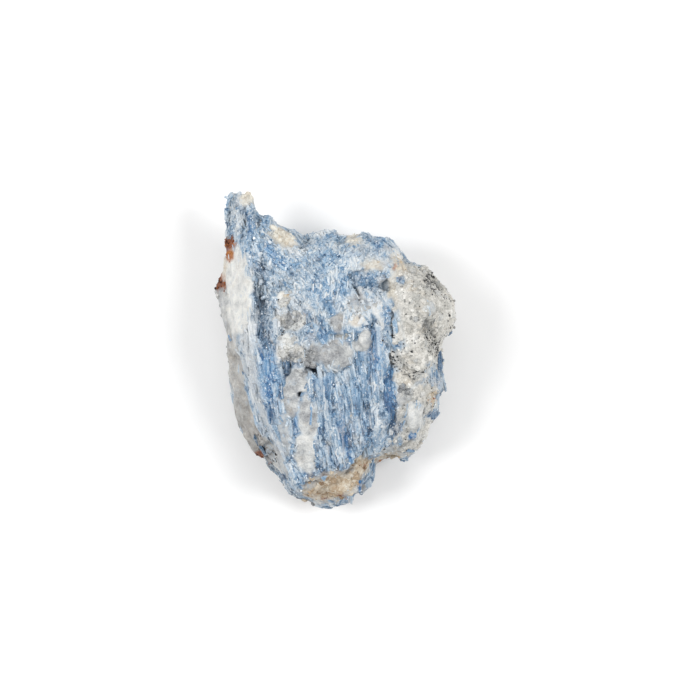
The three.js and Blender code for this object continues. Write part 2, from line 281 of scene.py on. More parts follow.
print("angle in the prong:", np.degrees(blade_angle(np.array([[-30.0, 45, 20]]))).round(1))

# %% [markdown]
# ## Where each mineral is
# Every patch is an ellipse in the plan with a ragged edge, listed with its centre, its
# half widths across and along, its turn, and how strong it is. They reach down the sides,
# where the same minerals go on under the rim.

# %% Patches of quartz, granular rock, feldspar and rust
QUARTZ = [  # x, y, half width, half length, turn in degrees, strength
    (-30.6, 16.0, 5.2, 11.0, -3, 1.0), (-30.6, 25.6, 3.4, 7.0, 2, 1.0),  # white left flank
    (-35.0, 17.0, 2.4, 8.5, 6, 1.0), (-32.6, -5.0, 3.9, 16, 10, 1.0),  # grey flank under it: partly clear grey quartz, partly painted shade of the steep side
    (-27.2, -23.6, 3.6, 13, 28, 1.0), (-21.6, -30.0, 2.4, 3.0, 30, 0.7),
    (-34.8, 26.6, 1.8, 4.0, 6, 1.0),
    (0.3, -1.0, 5.5, 4.9, 0, 1.0),  # the big grey chunk, and then its neighbours
    (9.1, 3.4, 1.9, 2.9, -28, 1.0), (7.9, 1.5, 2.3, 1.5, 12, 0.95), (0.6, 8.9, 3.0, 2.5, 20, 1.0),
    (6.6, 9.8, 2.7, 2.4, 0, 0.85), (7.2, 14.7, 3.8, 2.7, 0, 0.72), (-12.6, 9.4, 4.4, 2.9, 0, 1.0),
    (-14.9, 4.2, 3.2, 1.7, 0, 0.8), (-16.6, 16.0, 2.0, 2.5, 0, 1.0), (-14.2, -0.2, 4.3, 2.4, 0, 1.0),
    (-6.9, -1.6, 2.8, 4.2, -24, 1.0), (-11.2, -9.4, 3.6, 4.0, 0, 1.0), (-13.6, -15.0, 2.9, 6.4, 0, 1.0),
    (-8.2, -22.0, 2.5, 8.6, 3, 1.0), (-9.6, -32.0, 3.0, 6.6, 4, 1.0), (-15.8, -26, 1.8, 7, 6, 0.8),
    (-17.4, -34, 2.4, 6, 24, 0.9), (-6.0, 12.6, 1.4, 1.0, 0, 0.5), (-4.6, -6.8, 2.0, 1.4, 0, 0.6),
    (13.4, 13.6, 2.0, 1.6, 20, 0.6), (14.4, 7.6, 1.3, 1.6, 0, 0.7), (18.6, 30.2, 1.8, 2.6, 30, 0.6),
]
CLEAN_QUARTZ = [  # white and clear quartz inside the rock
    (24.7, -20.3, 3.3, 4.5, 0, 1.0), (21.0, -13.4, 2.8, 3.0, 0, 1.0), (28.9, 13.4, 1.8, 1.6, 0, 0.6),
]
ROCK = [  # granular rock of quartz and mica
    (27.8, 11.0, 9.4, 16.6, 6, 1.0), (29.6, 4.0, 7.8, 9.0, 0, 1.0), (23.2, -5.0, 5.0, 6.4, 4, 1.0),
    (33.6, 12.0, 6.0, 11.5, 0, 1.0), (29.6, 23.6, 3.8, 4.2, -30, 1.0),
    (1.6, 4.7, 3.1, 0.8, 3, 0.95),  # the dark band of the ledge above the big chunk: painted shade
    (21.4, 22.6, 3.0, 4.2, -24, 0.9), (19.2, 14.4, 1.9, 2.6, 0, 0.9), (18.8, 5.8, 1.7, 3.6, -8, 0.9),
    (18.0, -2.6, 1.2, 3.0, 6, 0.9), (28.6, -13.0, 3.8, 3.4, 0, 1.0), (26.0, -19.0, 6.2, 8.4, 0, 1.0),
    (22.8, -29.0, 5.4, 4.2, 24, 0.95), (20.2, 28.6, 2.0, 1.8, -40, 0.6),
    (16.6, -31.6, 3.6, 2.2, 12, 0.6), (29.6, -24.6, 2.4, 4.6, -34, 0.9),
    (20.0, 31.0, 1.2, 2.0, 30, 0.5),
]
ISLANDS = [  # blue blocks inside the rock
    (24.3, -26.6, 1.5, 1.3, 0, 1.0), (23.4, -31.5, 2.3, 0.8, 10, 1.0), (31.0, -20.1, 2.0, 2.0, 0, 1.0),
    (33.3, -11.1, 1.9, 2.0, 0, 1.0), (33.9, -3.0, 0.7, 4.0, 0, 1.0), (37.0, 5.4, 0.7, 1.1, 0, 1.0),
    (20.2, 21.8, 1.1, 1.2, 0, 0.9), (28.6, -28.4, 1.2, 0.8, 30, 0.8), (20.2, -28.0, 0.9, 1.6, 0, 0.7),
]
FELDSPAR = [  # cream feldspar
    (-0.2, -42.0, 9.6, 4.7, 20, 1.0), (7.6, -36.6, 4.8, 3.0, 36, 1.0),
    (-7.6, -44.6, 3.8, 2.0, -10, 0.9), (6.8, 9.6, 2.0, 1.8, 0, 0.55), (20.4, 27.6, 3.2, 2.2, -30, 0.7),
    (-32.6, -6.0, 4.2, 16, 10, 0.22), (-27.2, -23.6, 3.9, 13, 28, 0.26),
    (-34.9, 26.6, 1.2, 3.2, 6, 0.6), (-16.6, 35.6, 2.7, 5.0, 50, 0.95),
    (-28.1, 47.4, 2.0, 2.6, 14, 0.85), (5.9, 35.0, 2.8, 2.1, 0, 0.75), (20.4, 26.4, 3.0, 2.6, -30, 0.7),
    (11.6, 27.0, 3.4, 1.7, 0, 0.8), (17.9, 18.8, 1.3, 3.2, 10, 0.8), (23.4, 19.8, 1.4, 1.4, 0, 0.6),
    (30.8, -14.4, 2.2, 1.8, 0, 0.9), (16.4, -33.9, 4.4, 1.0, 12, 0.8), (4.0, -18.4, 0.7, 4.0, 4, 0.6),
    (-15.6, 15.6, 1.3, 2.2, 10, 0.6), (-13.0, -0.6, 1.6, 1.2, 0, 0.4), (22.0, -9.6, 2.0, 1.0, 0, 0.4),
    (-6.2, -34.6, 0.8, 3.0, 4, 0.4),
]
RUST = [  # brown crusts
    (-3.4, -46.3, 1.3, 0.6, 10, 0.5), (3.4, -46.2, 0.9, 0.6, 0, 0.6), (-20.8, -35.4, 0.8, 0.6, 0, 0.5),
    (-33.2, 33.8, 1.6, 2.8, 0, 1.0), (-32.9, 29.9, 1.5, 2.0, 0, 1.0), (-36.4, 22.0, 1.9, 2.8, 14, 1.0),
    (-24.6, -32.6, 2.2, 1.3, 40, 1.0), (31.0, -15.2, 1.7, 0.5, -8, 0.9),
    (16.4, -35.2, 3.0, 0.5, 14, 0.9), (1.8, -44.8, 1.1, 0.7, 0, 0.7), (8.8, -36.1, 1.0, 0.6, 20, 0.6),
    (18.5, 26.3, 0.4, 0.9, 0, 0.6), (-9.4, 11.3, 0.4, 0.4, 0, 0.6), (-7.2, 19.2, 0.5, 0.7, 20, 0.5),
]
GLASSY = [  # clear grey quartz, darker than the milky kind
    (0.3, -1.0, 6.0, 5.4, 0, 0.72), (0.6, 8.9, 3.3, 2.8, 20, 0.80), (28.9, 8.0, 2.4, 2.8, 0, 0.9),
    # the entries at X -32.6 and -27.2, and at X -35.4 below, grey the steep lower-left flank: partly
    # clear quartz, partly painted shade
    (25.0, 9.3, 1.5, 1.3, 0, 0.6), (-32.6, -5.0, 4.2, 17, 10, 0.66), (-27.2, -23.6, 3.9, 14, 28, 0.92),
    (21.0, -13.4, 2.8, 3.0, 0, 0.56), (24.7, -20.3, 3.4, 4.8, 0, 0.28),
    (-6.9, -1.6, 3.0, 4.4, -24, 0.80), (-11.2, -9.4, 3.8, 4.2, 0, 0.62), (-15.8, -27, 2.0, 8, 6, 0.7),
    (8.5, 2.7, 2.9, 3.4, -20, 0.46), (-16.6, -33, 2.8, 6, 24, 0.70), (6.8, 14.4, 4.0, 3.0, 0, 0.78),
    (-8.2, -20.0, 2.6, 7.0, 3, 0.66), (-13.6, -15.6, 2.9, 6.4, 0, 0.62),
    (-12.6, 9.0, 4.4, 3.0, 0, 0.40), (-14.2, -0.2, 4.4, 2.5, 0, 0.24), (-35.4, 17.0, 1.8, 9, 6, 0.56),
    (-21.6, -30.0, 3.0, 4.0, 30, 0.66), (-12.2, 5.8, 2.4, 1.0, 8, 0.8),
    (-9.6, -33.0, 3.0, 6.0, 4, 0.48), (-4.6, -6.8, 2.0, 1.4, 0, 0.7),
]
SUGARY = [  # quartz broken into grains
    (-12.6, 1.0, 5.6, 4.6, -10, 1.0), (-13.8, 11.5, 3.6, 6.0, 10, 1.0), (8, 13.5, 5.0, 3.0, 10, 0.6),
    (-9, -5, 4, 3, 0, 0.6), (22.6, -12.0, 3.2, 2.4, 0, 0.8),
]
SPECKS = [  # where dark mica is thickest
    (29.6, 22.6, 1.6, 2.4, -50, 1.0), (31.2, 20.0, 2.6, 2.6, -40, 0.8), (34.0, 15.6, 1.4, 2.6, 30, 0.5),
    (30.2, 3.0, 1.6, 4.4, 4, 0.8), (17.6, 6.4, 0.9, 3.2, -10, 1.0), (15.3, 2.6, 0.9, 0.8, 0, 1.0),
    (18.0, -3.2, 1.0, 3.2, 6, 0.9), (23.4, -6.0, 4.6, 1.8, 0, 0.7), (20.8, -1.0, 3.4, 4.0, 0, 0.42),
    (29.6, -9.8, 2.0, 1.6, 0, 0.7), (-10.2, -2.5, 1.5, 0.7, 10, 1.0), (-9.6, -0.4, 0.6, 2.0, 20, 0.7),
    (-16.2, 6.4, 1.2, 0.8, 30, 1.0), (-19.2, 1.8, 1.0, 0.6, 0, 0.7), (-18.8, 18.6, 0.7, 1.6, 10, 1.0),
    (-17.6, 13.0, 0.6, 3.0, 6, 0.6), (24.6, 10.0, 2.0, 1.6, 0, 0.4), (26.0, 6.0, 12, 20, 0, 0.07),
    (-22.6, -30.5, 1.4, 1.6, 0, 0.8), (-19.4, -34.6, 1.6, 1.0, 40, 0.8),
    (-24.4, -27.0, 0.8, 3.0, 26, 0.5), (-14.4, -39.6, 0.7, 0.5, 0, 0.9),
]
ROCK_SHADE = [  # x, y, half width, half length, turn, how much lighter
    (28.9, 8.0, 2.3, 2.5, 0, -0.46), (25.0, 9.3, 1.4, 1.2, 0, -0.26), (25.9, 12.8, 0.8, 0.8, 0, -0.2),
    (22.4, 14.8, 1.0, 1.0, 0, -0.16), (30.4, 21.4, 3.0, 4.0, -40, -0.16),
    (24.0, 2.6, 3.4, 3.2, 0, 0.16), (33.2, 12.4, 3.0, 4.4, 0, 0.12), (22.4, 23.6, 2.6, 2.8, 0, 0.10),
    (30.6, 2.0, 1.6, 4.0, 0, -0.24), (23.0, -6.2, 5.0, 1.8, 0, -0.10), (-17.0, 35.6, 4.0, 4.0, 0, 0.30),
    (-28.0, 47.0, 3.0, 4.0, 0, 0.30), (8.0, 31.0, 8.0, 7.0, 0, 0.26), (18.0, 20.0, 2.0, 4.0, 0, 0.22),
    (-15.4, 15.4, 2.0, 2.0, 0, 0.26), (2.6, -44.6, 1.6, 1.0, 0, -0.3), (8.8, -36.3, 1.4, 1.0, 0, -0.22),
    (-3.6, -41.8, 3.0, 1.4, 10, 0.1), (0.0, -42.0, 14, 8, 14, -0.13),
    (-7.0, -44.4, 4.0, 2.0, -10, -0.14), (-33.2, 35.2, 2.0, 1.2, 0, -0.24),
    # the -0.50 entry at X 1.6, Y 4.7 darkens the ledge above the big chunk: painted shade
    (-33.0, 30.2, 2.0, 2.4, 0, 0.34), (1.6, 4.7, 3.4, 1.2, 3, -0.50),
    (-36.8, 22.0, 2.0, 3.0, 14, -0.44), (-24.6, -32.6, 2.6, 2.0, 40, -0.60),
    (26.6, -17.0, 6.0, 9.0, 0, -0.06), (20.0, -30.0, 6.0, 3.0, 0, -0.08),
]


def ellipse_distance(plan, x, y, wide, long, turn):
    """The distance from the middle of a turned ellipse in its own half widths, 1 on its edge."""
    angle = math.radians(turn)
    dx, dy = plan[:, 0] - x, plan[:, 1] - y
    across = (dx * math.cos(angle) + dy * math.sin(angle)) / wide
    along = (dy * math.cos(angle) - dx * math.sin(angle)) / long
    return np.hypot(across, along)


def wandering(points, grain, amount, salts):
    """The plan of the points, shifted about by noise, so that edges come out ragged."""
    shift = np.stack([rough(points / grain, 3, salt) for salt in salts], -1)
    return points[:, :2] + amount * shift


def cover(points, patches, edge=0.28, wander=1.5):
    """How far each point is inside the patches, from 0 to 1: one minus the distance from
    the centre in half widths, over the edge. Where patches overlap, the strongest counts."""
    plan = wandering(points, 2.8, wander, (31, 57))
    best = np.zeros(len(points))
    for *ellipse, strength in patches:
        inside = smooth((1 + edge - ellipse_distance(plan, *ellipse)) / (2 * edge))
        best = np.maximum(best, strength * inside)
    return best


def changes(points, patches):
    """The sum of soft patches, each the strongest in its middle and gone at 1.5 half widths."""
    plan = wandering(points, 3.0, 0.7, (91, 97))
    total = np.zeros(len(points))
    for *ellipse, change in patches:
        total += change * smooth(1.5 - ellipse_distance(plan, *ellipse))
    return total


print("quartz at its big chunk:", cover(np.array([[0.0, 0, 40]]), QUARTZ).round(2))

# %% [markdown]
# ## The colour of the kyanite
# Blue in kyanite comes in streaks along the blades. The depth of blue is a slow drift along
# the blades, plus patches that deepen it (+) or wash it out (-). Milkiness and greyness are
# made in the same way, and a few blades are a clear royal blue.

# %% How deep the blue is
BLUE = [  # x, y, half width, half length, turn, how much deeper
    (-29.5, 42.0, 6.0, 9.0, 0, -0.10), (-17.0, 26.0, 7.0, 6.0, 0, -0.08),
    (-19.6, -31.4, 3.4, 4.6, 30, 0.20), (-29.7, 44.7, 0.7, 2.6, 38, 0.26),
    (-26.4, 39.5, 0.9, 4.4, 15, 0.40), (-24.9, 41.0, 0.6, 2.6, 5, 0.26),
    (-33.3, 46.0, 0.7, 3.4, 0, 0.20), (-31.8, 39.0, 0.6, 3.4, 0, 0.14),
    (-21.6, 40.4, 1.4, 1.4, 0, 0.16), (-18.9, 29.6, 1.5, 5.0, 51, 0.34),
    (-21.4, 25.4, 1.3, 2.4, 50, 0.18), (-14.4, 24.2, 1.0, 3.8, 48, 0.16),
    # the two entries at X -23.2 and -22.2 deepen the trough: partly its own darker blue, partly painted
    # shade
    (-23.2, 20.0, 2.4, 8.5, 2, 0.32), (-22.2, 8.0, 2.5, 7.5, 4, 0.33),
    (-16.6, 19.6, 1.6, 1.6, 40, 0.22), (-21.0, -5.0, 2.5, 3.3, 0, 0.30),
    (-20.6, -12.2, 1.1, 5.0, 2, 0.34), (-20.2, -19.4, 0.9, 4.4, 3, 0.30),
    (-15.3, -5.0, 1.2, 2.4, 0, 0.52), (-5.0, 5.8, 3.0, 4.0, 20, 0.24), (2.0, 6.4, 3.4, 0.9, 5, 0.24),
    (-7.0, 8.8, 1.8, 1.8, 0, 0.16), (9.2, 21.2, 3.8, 2.4, -10, 0.22), (15.0, 20.0, 1.8, 2.3, 30, 0.28),
    (2.2, 19.6, 1.4, 1.6, 0, 0.24), (12.4, 2.0, 1.9, 6.6, 2, 0.46), (12.0, 8.0, 1.6, 2.4, 0, 0.34),
    (13.0, -9.2, 2.4, 3.6, 0, -0.18), (16.9, -13.0, 1.4, 6.8, 4, 0.92),
    (18.2, -21.6, 1.1, 5.6, 8, 0.75), (6.5, -14.4, 0.9, 6.6, 7, 0.24), (9.2, -18.0, 0.7, 5.4, 6, 0.16),
    (0.2, -19.0, 1.1, 5.4, 8, 0.24), (3.6, -29.6, 0.7, 6.4, 14, 0.30), (-2.6, -25.0, 1.0, 6.4, 6, 0.20),
    (10.6, -27.0, 1.0, 4.4, 8, 0.22), (7.2, -28.6, 0.7, 4.4, 8, 0.16), (-4.0, -38.0, 2.0, 2.0, 0, 0.22),
    (0.6, -35.4, 0.9, 3.0, 6, 0.18), (-12.0, -22.6, 0.9, 3.2, 8, 0.34),
    (-7.6, -19.6, 0.5, 3.2, 0, 0.34), (-7.6, -14.8, 0.7, 1.1, 0, 0.26),
    (-3.6, -14.0, 1.6, 3.4, 4, 0.10), (24.3, -26.6, 1.4, 1.3, 0, 0.34),
    (23.6, -31.4, 2.2, 0.8, 10, 0.40), (30.9, -20.0, 2.0, 2.0, 0, 0.34),
    (33.6, -3.0, 1.0, 4.4, 0, 0.22), (36.8, 5.6, 0.8, 1.2, 0, 0.34), (-33.2, 4.4, 0.7, 1.3, 20, 0.34),
    (-34.4, 8.2, 0.7, 1.1, 0, 0.28), (9.8, -42.4, 2.4, 3.0, 10, 0.34), (7.6, -42.2, 0.6, 2.0, 0, 0.30),
    (14.8, 32.2, 3.2, 3.4, 0, 0.24), (-2.4, 33.6, 2.4, 2.0, 0, 0.12),
    (-17.0, -38.4, 1.2, 5.6, -38, 0.18), (-24.2, -29.0, 1.0, 3.2, 24, 0.34),
    (-11.0, -46.0, 3.0, 1.0, -25, 0.16), (20.2, 21.8, 1.2, 1.4, 0, 0.3),
    (-27.8, 36.0, 1.2, 2.6, 10, 0.14), (6.2, 5.6, 3.8, 0.6, -8, 0.20), (12.8, -16.0, 0.8, 3.6, 5, 0.14),
]
MILKY = [  # the same, for how white and milky it is
    (-19.6, -31.4, 3.4, 4.6, 30, -0.5), (-26.8, 5.0, 2.5, 5.6, 4, 1.2), (-25.4, -8.0, 2.0, 8.0, 9, 1.1),
    # the first entry, at X -23.0, takes the milk out of the trough: partly painted shade
    (-23.0, 12.0, 1.5, 12.0, 3, -0.6), (17.2, -15.0, 1.6, 9.0, 4, -0.7),
    (-22.8, -20.0, 1.5, 7.5, 12, 0.80), (-17.8, -18.0, 0.9, 7.5, 3, 0.55),
    (-30.3, 40.0, 1.4, 3.2, 0, 0.55), (-25.7, 18.0, 0.8, 12.0, 0, 0.55),
    (-29.8, 48.0, 1.4, 2.0, 0, 0.40), (0.4, 24.6, 2.2, 4.2, -12, 0.30), (5.4, 28.4, 2.0, 1.6, 0, 0.15),
    (-5.6, 26.0, 1.2, 3.0, 0, 0.25), (8.8, 14.6, 4.2, 2.8, 0, 0.35), (13.4, 13.2, 3.0, 1.4, -20, 0.30),
    (12.8, -9.2, 2.2, 3.8, 0, 0.45), (14.4, 5.4, 1.2, 1.8, 0, 0.60), (19.3, -22.6, 0.6, 3.4, 6, 0.75),
    (2.6, -33.4, 1.4, 3.0, 10, 0.15), (-13.4, -36.2, 3.0, 1.8, -10, 0.45),
    (-18.6, -28.0, 1.4, 5.6, 18, 0.55), (-6.4, -40.4, 5.0, 1.0, -8, 0.50),
    (8.2, -24.4, 0.7, 5.4, 6, 0.40), (-1.6, -11.6, 0.7, 2.6, 0, 0.45), (5.0, -22.0, 0.6, 4.6, 4, 0.50),
    (12.2, -20.6, 0.8, 4.6, 5, 0.40), (33.2, -11.2, 1.6, 1.8, 0, 0.30),
    (-11.0, 33.2, 3.6, 0.8, -20, 0.35), (-20.0, 33.6, 3.6, 0.8, -46, 0.35),
    (16.6, 26.2, 1.8, 2.2, 0, 0.30), (-6.6, 4.2, 2.0, 1.4, 0, 0.20), (-9.4, 15.0, 2.4, 1.2, 10, 0.25),
    (-15.8, 24.6, 0.6, 4.2, 50, 0.35), (18.4, 31.0, 2.2, 3.2, 30, 0.35),
    (14.6, 23.6, 2.6, 1.2, -20, 0.3), (12.4, 29.0, 2.6, 1.2, 0, 0.2), (-2.0, 37.0, 8.0, 0.9, 0, 0.35),
    (14.6, -28.6, 2.4, 2.2, 0, 0.30), (8.0, 25.6, 3.0, 1.4, -10, 0.15), (-6.0, 31.0, 3.0, 3.0, 0, 0.20),
    (13.6, 16.4, 2.6, 1.2, 0, 0.40), (-28.8, 43.0, 0.7, 2.0, 20, 0.45),
    (-4.4, 22.0, 1.0, 4.0, -10, 0.35), (-11.6, 28.4, 3.0, 1.2, 30, 0.30),
]
ASHEN = [  # the same, for how grey the blue is
    # the first entry, at X -22.8, greys the trough: partly its own grey-teal, partly painted shade
    (-22.8, 13.0, 2.6, 14.0, 3, 0.55), (-14.5, 6.0, 5.0, 10.0, 8, 0.50),
    (15.0, 20.0, 2.2, 2.6, 0, 0.50), (9.6, 30.6, 3.0, 2.4, 0, 0.45), (-21.0, -32.0, 4.0, 6.0, 30, 0.75),
    (-10.0, -45.0, 8.0, 2.4, 25, 0.35), (-15.3, -5.0, 1.4, 2.6, 0, 0.25),
    (33.6, -4.0, 1.6, 5.0, 0, 0.25), (20.0, 30.0, 3.0, 3.0, 0, 0.35), (23.6, -31.4, 3.0, 1.6, 0, 0.35),
    (10.0, -42.0, 3.0, 3.0, 0, 0.20), (-21.0, -8.0, 2.4, 8.0, 0, -0.45),
    (13.4, 0.0, 2.0, 7.0, 2, -0.35), (17.2, -15.0, 1.6, 7.0, 4, -0.30),
    (24.3, -26.6, 1.8, 1.6, 0, -0.5), (-18.9, 29.6, 2.0, 6.0, 51, -0.40),
    (-2.0, 26.0, 4.0, 5.0, 0, -0.25), (3.6, -29.0, 1.0, 7.0, 14, -0.35),
    (14.4, 32.4, 2.8, 3.0, 0, -0.20), (9.0, 21.2, 3.6, 2.2, 14, -0.10), (-3.0, 6.2, 1.8, 3.6, 5, -0.15),
]
ROYAL_BLADES = [  # clear royal blue blades, with a strength in place of a change
    (-20.8, -5.2, 2.2, 3.8, 6, 0.70), (3.7, -29.8, 0.7, 6.2, 14, 0.75),
    (-7.6, -19.6, 0.6, 3.2, 0, 0.60), (24.3, -26.6, 1.5, 1.4, 0, 0.85), (7.6, -42.4, 0.7, 1.9, 0, 0.85),
    (-33.2, 4.4, 0.8, 1.4, 20, 0.55), (-20.8, -12.0, 0.9, 5.0, 2, 0.50),
    (-20.4, -19.0, 0.8, 4.4, 3, 0.45), (17.0, -15.0, 1.2, 7.5, 4, 0.26),
    (-26.6, 40.0, 1.0, 5.0, 14, 0.30), (12.6, 2.0, 1.4, 6.0, 2, 0.40), (-29.6, 9.6, 0.8, 0.7, 0, 0.70),
    (-12.0, -23.4, 0.7, 2.6, 8, 0.45), (31.0, -20.2, 1.6, 1.8, 0, 0.25),
    (-18.9, 29.6, 1.4, 4.8, 51, 0.25),
]
BLOCKY = [  # where the blades are broken into short blocks
    (-6.0, 11.0, 14.0, 8.0, 0, 1.0), (11.0, 24.0, 8.5, 13.0, 0, 1.0), (-12.0, -2.0, 8.0, 8.0, 0, 1.0),
    (11.0, 12.0, 7.0, 7.0, 0, 1.0), (-1.0, -44.0, 16.0, 6.0, 0, 1.0), (26.0, -22.0, 12.0, 14.0, 0, 1.0),
]
MEAN_BELOW, MEAN_ABOVE = 0.57, 0.44  # the mean depth of blue, below and above the middle
BLOCK = (3.4, 2.3, 2.6)  # mm along the blades, across them and up: one broken block


def blocks(points):
    """How blocky it is from 0 to 1, and two numbers from 0 to 1 that each block has."""
    number = cells(along_blades(points) / BLOCK, 61)[2]
    return cover(points, BLOCKY, 0.35, 2.0), number, (number * 7.3) % 1


def blueness(points):
    """How deep the blue is, mostly from 0 to 1: a mean, streaks along the blades below,
    unevenness above, a tone for each block, and the patches."""
    run = along_blades(points)
    below = smooth((10 - points[:, 1]) / 8)  # 1 below Y 2 mm and 0 above 10 mm
    streaks = 0.34 * rough(run / (9, 1.5, 3), 3, 71) + 0.18 * noise(run / (4.2, 0.8, 2), 75)
    uneven = 0.24 * rough(run / (3.6, 2.0, 2.6), 3, 77) + 0.16 * noise(run / (2.6, 0.8, 2), 79)
    blocky, number, _ = blocks(points)
    return (below * (MEAN_BELOW + streaks) + (1 - below) * (MEAN_ABOVE + uneven)
            + 0.42 * blocky * (number - 0.5) + changes(points, BLUE))


def milkiness(points):
    """How white and milky it is, from 0 to 1: ragged streaks of its own, and the patches."""
    run = along_blades(points)
    ragged = rough(run / (4.5, 1.3, 2), 3, 87)
    blocky, _, number = blocks(points)
    pale = 0.5 * blocky * smooth((number - 0.70) / 0.1)
    return np.clip(smooth(2.6 * ragged - 0.15) * 0.75 + pale + changes(points, MILKY), 0, 1)


def ashes(points):
    """How grey the blue is, from 0 to 1: broad drifts, and the patches."""
    run = along_blades(points)
    return np.clip(0.38 + 0.55 * rough(run / (6.5, 2.8, 4), 3, 83) + changes(points, ASHEN), 0, 1)


print("blue in the trough:", blueness(np.array([[-23.5, 12.0, 36]])).round(2))

# %% [markdown]
# ## Materials
# Blades, quartz and the body under them have a material each. Rock grains, feldspar, rust,
# mica and the glinting cleavage flakes, whose pale colour is partly painted glint, share one
# recipe with colours of their own. The streaks, the grain and the mottle are node groups, so
# each material places them with its own values. The shader itself stays in the material.

# %% Small helpers for shader nodes
def put(tree, kind, settings=None, **inputs):
    """Adds a shader node. Settings are its properties. An input is a value or an output of
    another node, and its name is written with _ for a space."""
    made = tree.nodes.new("ShaderNode" + kind)
    for name, value in (settings or {}).items():
        setattr(made, name, value)
    for name, value in inputs.items():
        join(tree, value, made.inputs[name.replace("_", " ")])
    return made


def join(tree, value, socket):
    """Links an output to the socket, or sets the socket to a plain value."""
    if isinstance(value, bpy.types.NodeSocket):
        tree.links.new(value, socket)
    else:
        socket.default_value = value


def reckon(tree, operation, first, second, clamp=False):
    """One step of arithmetic between two values; clamp holds the result between 0 and 1."""
    made = put(tree, "Math", {"operation": operation, "use_clamp": clamp})
    join(tree, first, made.inputs[0])
    join(tree, second, made.inputs[1])
    return made.outputs[0]


def plus(tree, first, second, clamp=False):
    """The sum of two values."""
    return reckon(tree, "ADD", first, second, clamp)


def minus(tree, first, second, clamp=False):
    """The second value taken from the first."""
    return reckon(tree, "SUBTRACT", first, second, clamp)


def times(tree, first, second, clamp=False):
    """The product of two values."""
    return reckon(tree, "MULTIPLY", first, second, clamp)


def blend(tree, share, first, second):
    """Mixes two colours: none of the second at 0, all of it at 1."""
    made = put(tree, "Mix", {"data_type": "RGBA", "clamp_factor": True})
    join(tree, share, made.inputs["Factor"])
    join(tree, first, made.inputs[6])
    join(tree, second, made.inputs[7])
    return made.outputs[2]


def ramp(tree, value, stops):
    """A colour for each value: (place, colour) stops, with straight blends between them."""
    made = put(tree, "ValToRGB", None, Fac=value)
    line = made.color_ramp
    while len(line.elements) < len(stops):
        line.elements.new(0.5)
    for element, (place, colour) in zip(line.elements, stops):
        element.position = place
        element.color = (*colour, 1)
    return made.outputs["Color"]


def paint(red, green, blue):
    """A linear colour from the 0 to 255 numbers of a paint chart."""
    shares = np.array([red, green, blue]) / 255
    low, high = shares / 12.92, ((shares + 0.055) / 1.055) ** 2.4
    return tuple(float(c) for c in np.where(shares <= 0.04045, low, high))


def read(tree, name, field="Fac"):
    """A value stored on the piece's points."""
    return put(tree, "Attribute", {"attribute_name": name}).outputs[field]


def new_group(name, inputs, outputs):
    """An empty node group with named sockets; returns it with its two ends."""
    tree = bpy.data.node_groups.new(name, "ShaderNodeTree")
    for label, kind in inputs:
        tree.interface.new_socket(label, in_out="INPUT", socket_type="NodeSocket" + kind)
    for label, kind in outputs:
        tree.interface.new_socket(label, in_out="OUTPUT", socket_type="NodeSocket" + kind)
    return tree, tree.nodes.new("NodeGroupInput"), tree.nodes.new("NodeGroupOutput")


def use(tree, group, **inputs):
    """Places a node group in a material."""
    made = tree.nodes.new("ShaderNodeGroup")
    made.node_tree = group
    for name, value in inputs.items():
        join(tree, value, made.inputs[name.replace("_", " ")])
    return made


def new_material(name):
    """A material with one Principled shader; returns it, its tree and the shader."""
    material = bpy.data.materials.new(name)
    material.use_nodes = True
    tree = material.node_tree
    return material, tree, tree.nodes["Principled BSDF"]


print("chart white is", paint(255, 255, 255))

# %% [markdown]
# ### Streaks
# A blade is lined along its length by finer blades and split across by cleavage. Noise that
# is squeezed across the blade and drawn out along it gives the lines. A second one, squeezed
# the other way and cut off high, gives the short white cross breaks.

# %% The streak group
def make_streaks():
    """Grain is a place in mm: along, across and up. Puts out the change of tone from -0.5 to
    0.5, the height of the lines, and where the white breaks are."""
    tree, start, end = new_group(
        "Blade streaks",
        [("Grain", "Vector")],
        [("Tone", "Float"), ("Height", "Float"), ("Breaks", "Float")],
    )
    grain = start.outputs["Grain"]

    def lines(scale, detail):
        """Noise squeezed by the scale, which is given along the blade, across it and up."""
        squeezed = put(tree, "Mapping", {"vector_type": "POINT"}, Vector=grain, Scale=scale)
        return put(tree, "TexNoise", None, Vector=squeezed.outputs[0], Scale=1.0, Detail=detail,
                   Roughness=0.6).outputs["Fac"]

    broad, fine = lines((0.10, 1.3, 1.3), 3.0), lines((0.35, 5.0, 5.0), 2.0)
    cross = lines((1.1, 0.9, 0.9), 3.0)
    tone = plus(tree, times(tree, broad, 0.9), times(tree, fine, 0.6))
    join(tree, minus(tree, tone, 0.75), end.inputs["Tone"])
    height = plus(tree, broad, times(tree, fine, 0.5))
    join(tree, height, end.inputs["Height"])
    marks = plus(tree, cross, times(tree, fine, 0.45))
    above = minus(tree, marks, 0.80)
    join(tree, times(tree, above, 7.0, clamp=True), end.inputs["Breaks"])
    return tree


STREAKS = make_streaks()
print("group made:", STREAKS.name)

# %% [markdown]
# ### Grain
# Granular rock is a mosaic of grains, each a little lighter or darker than the next, with
# thin dark seams. Voronoi cells give both: the cell's own colour and the distance to its edge.

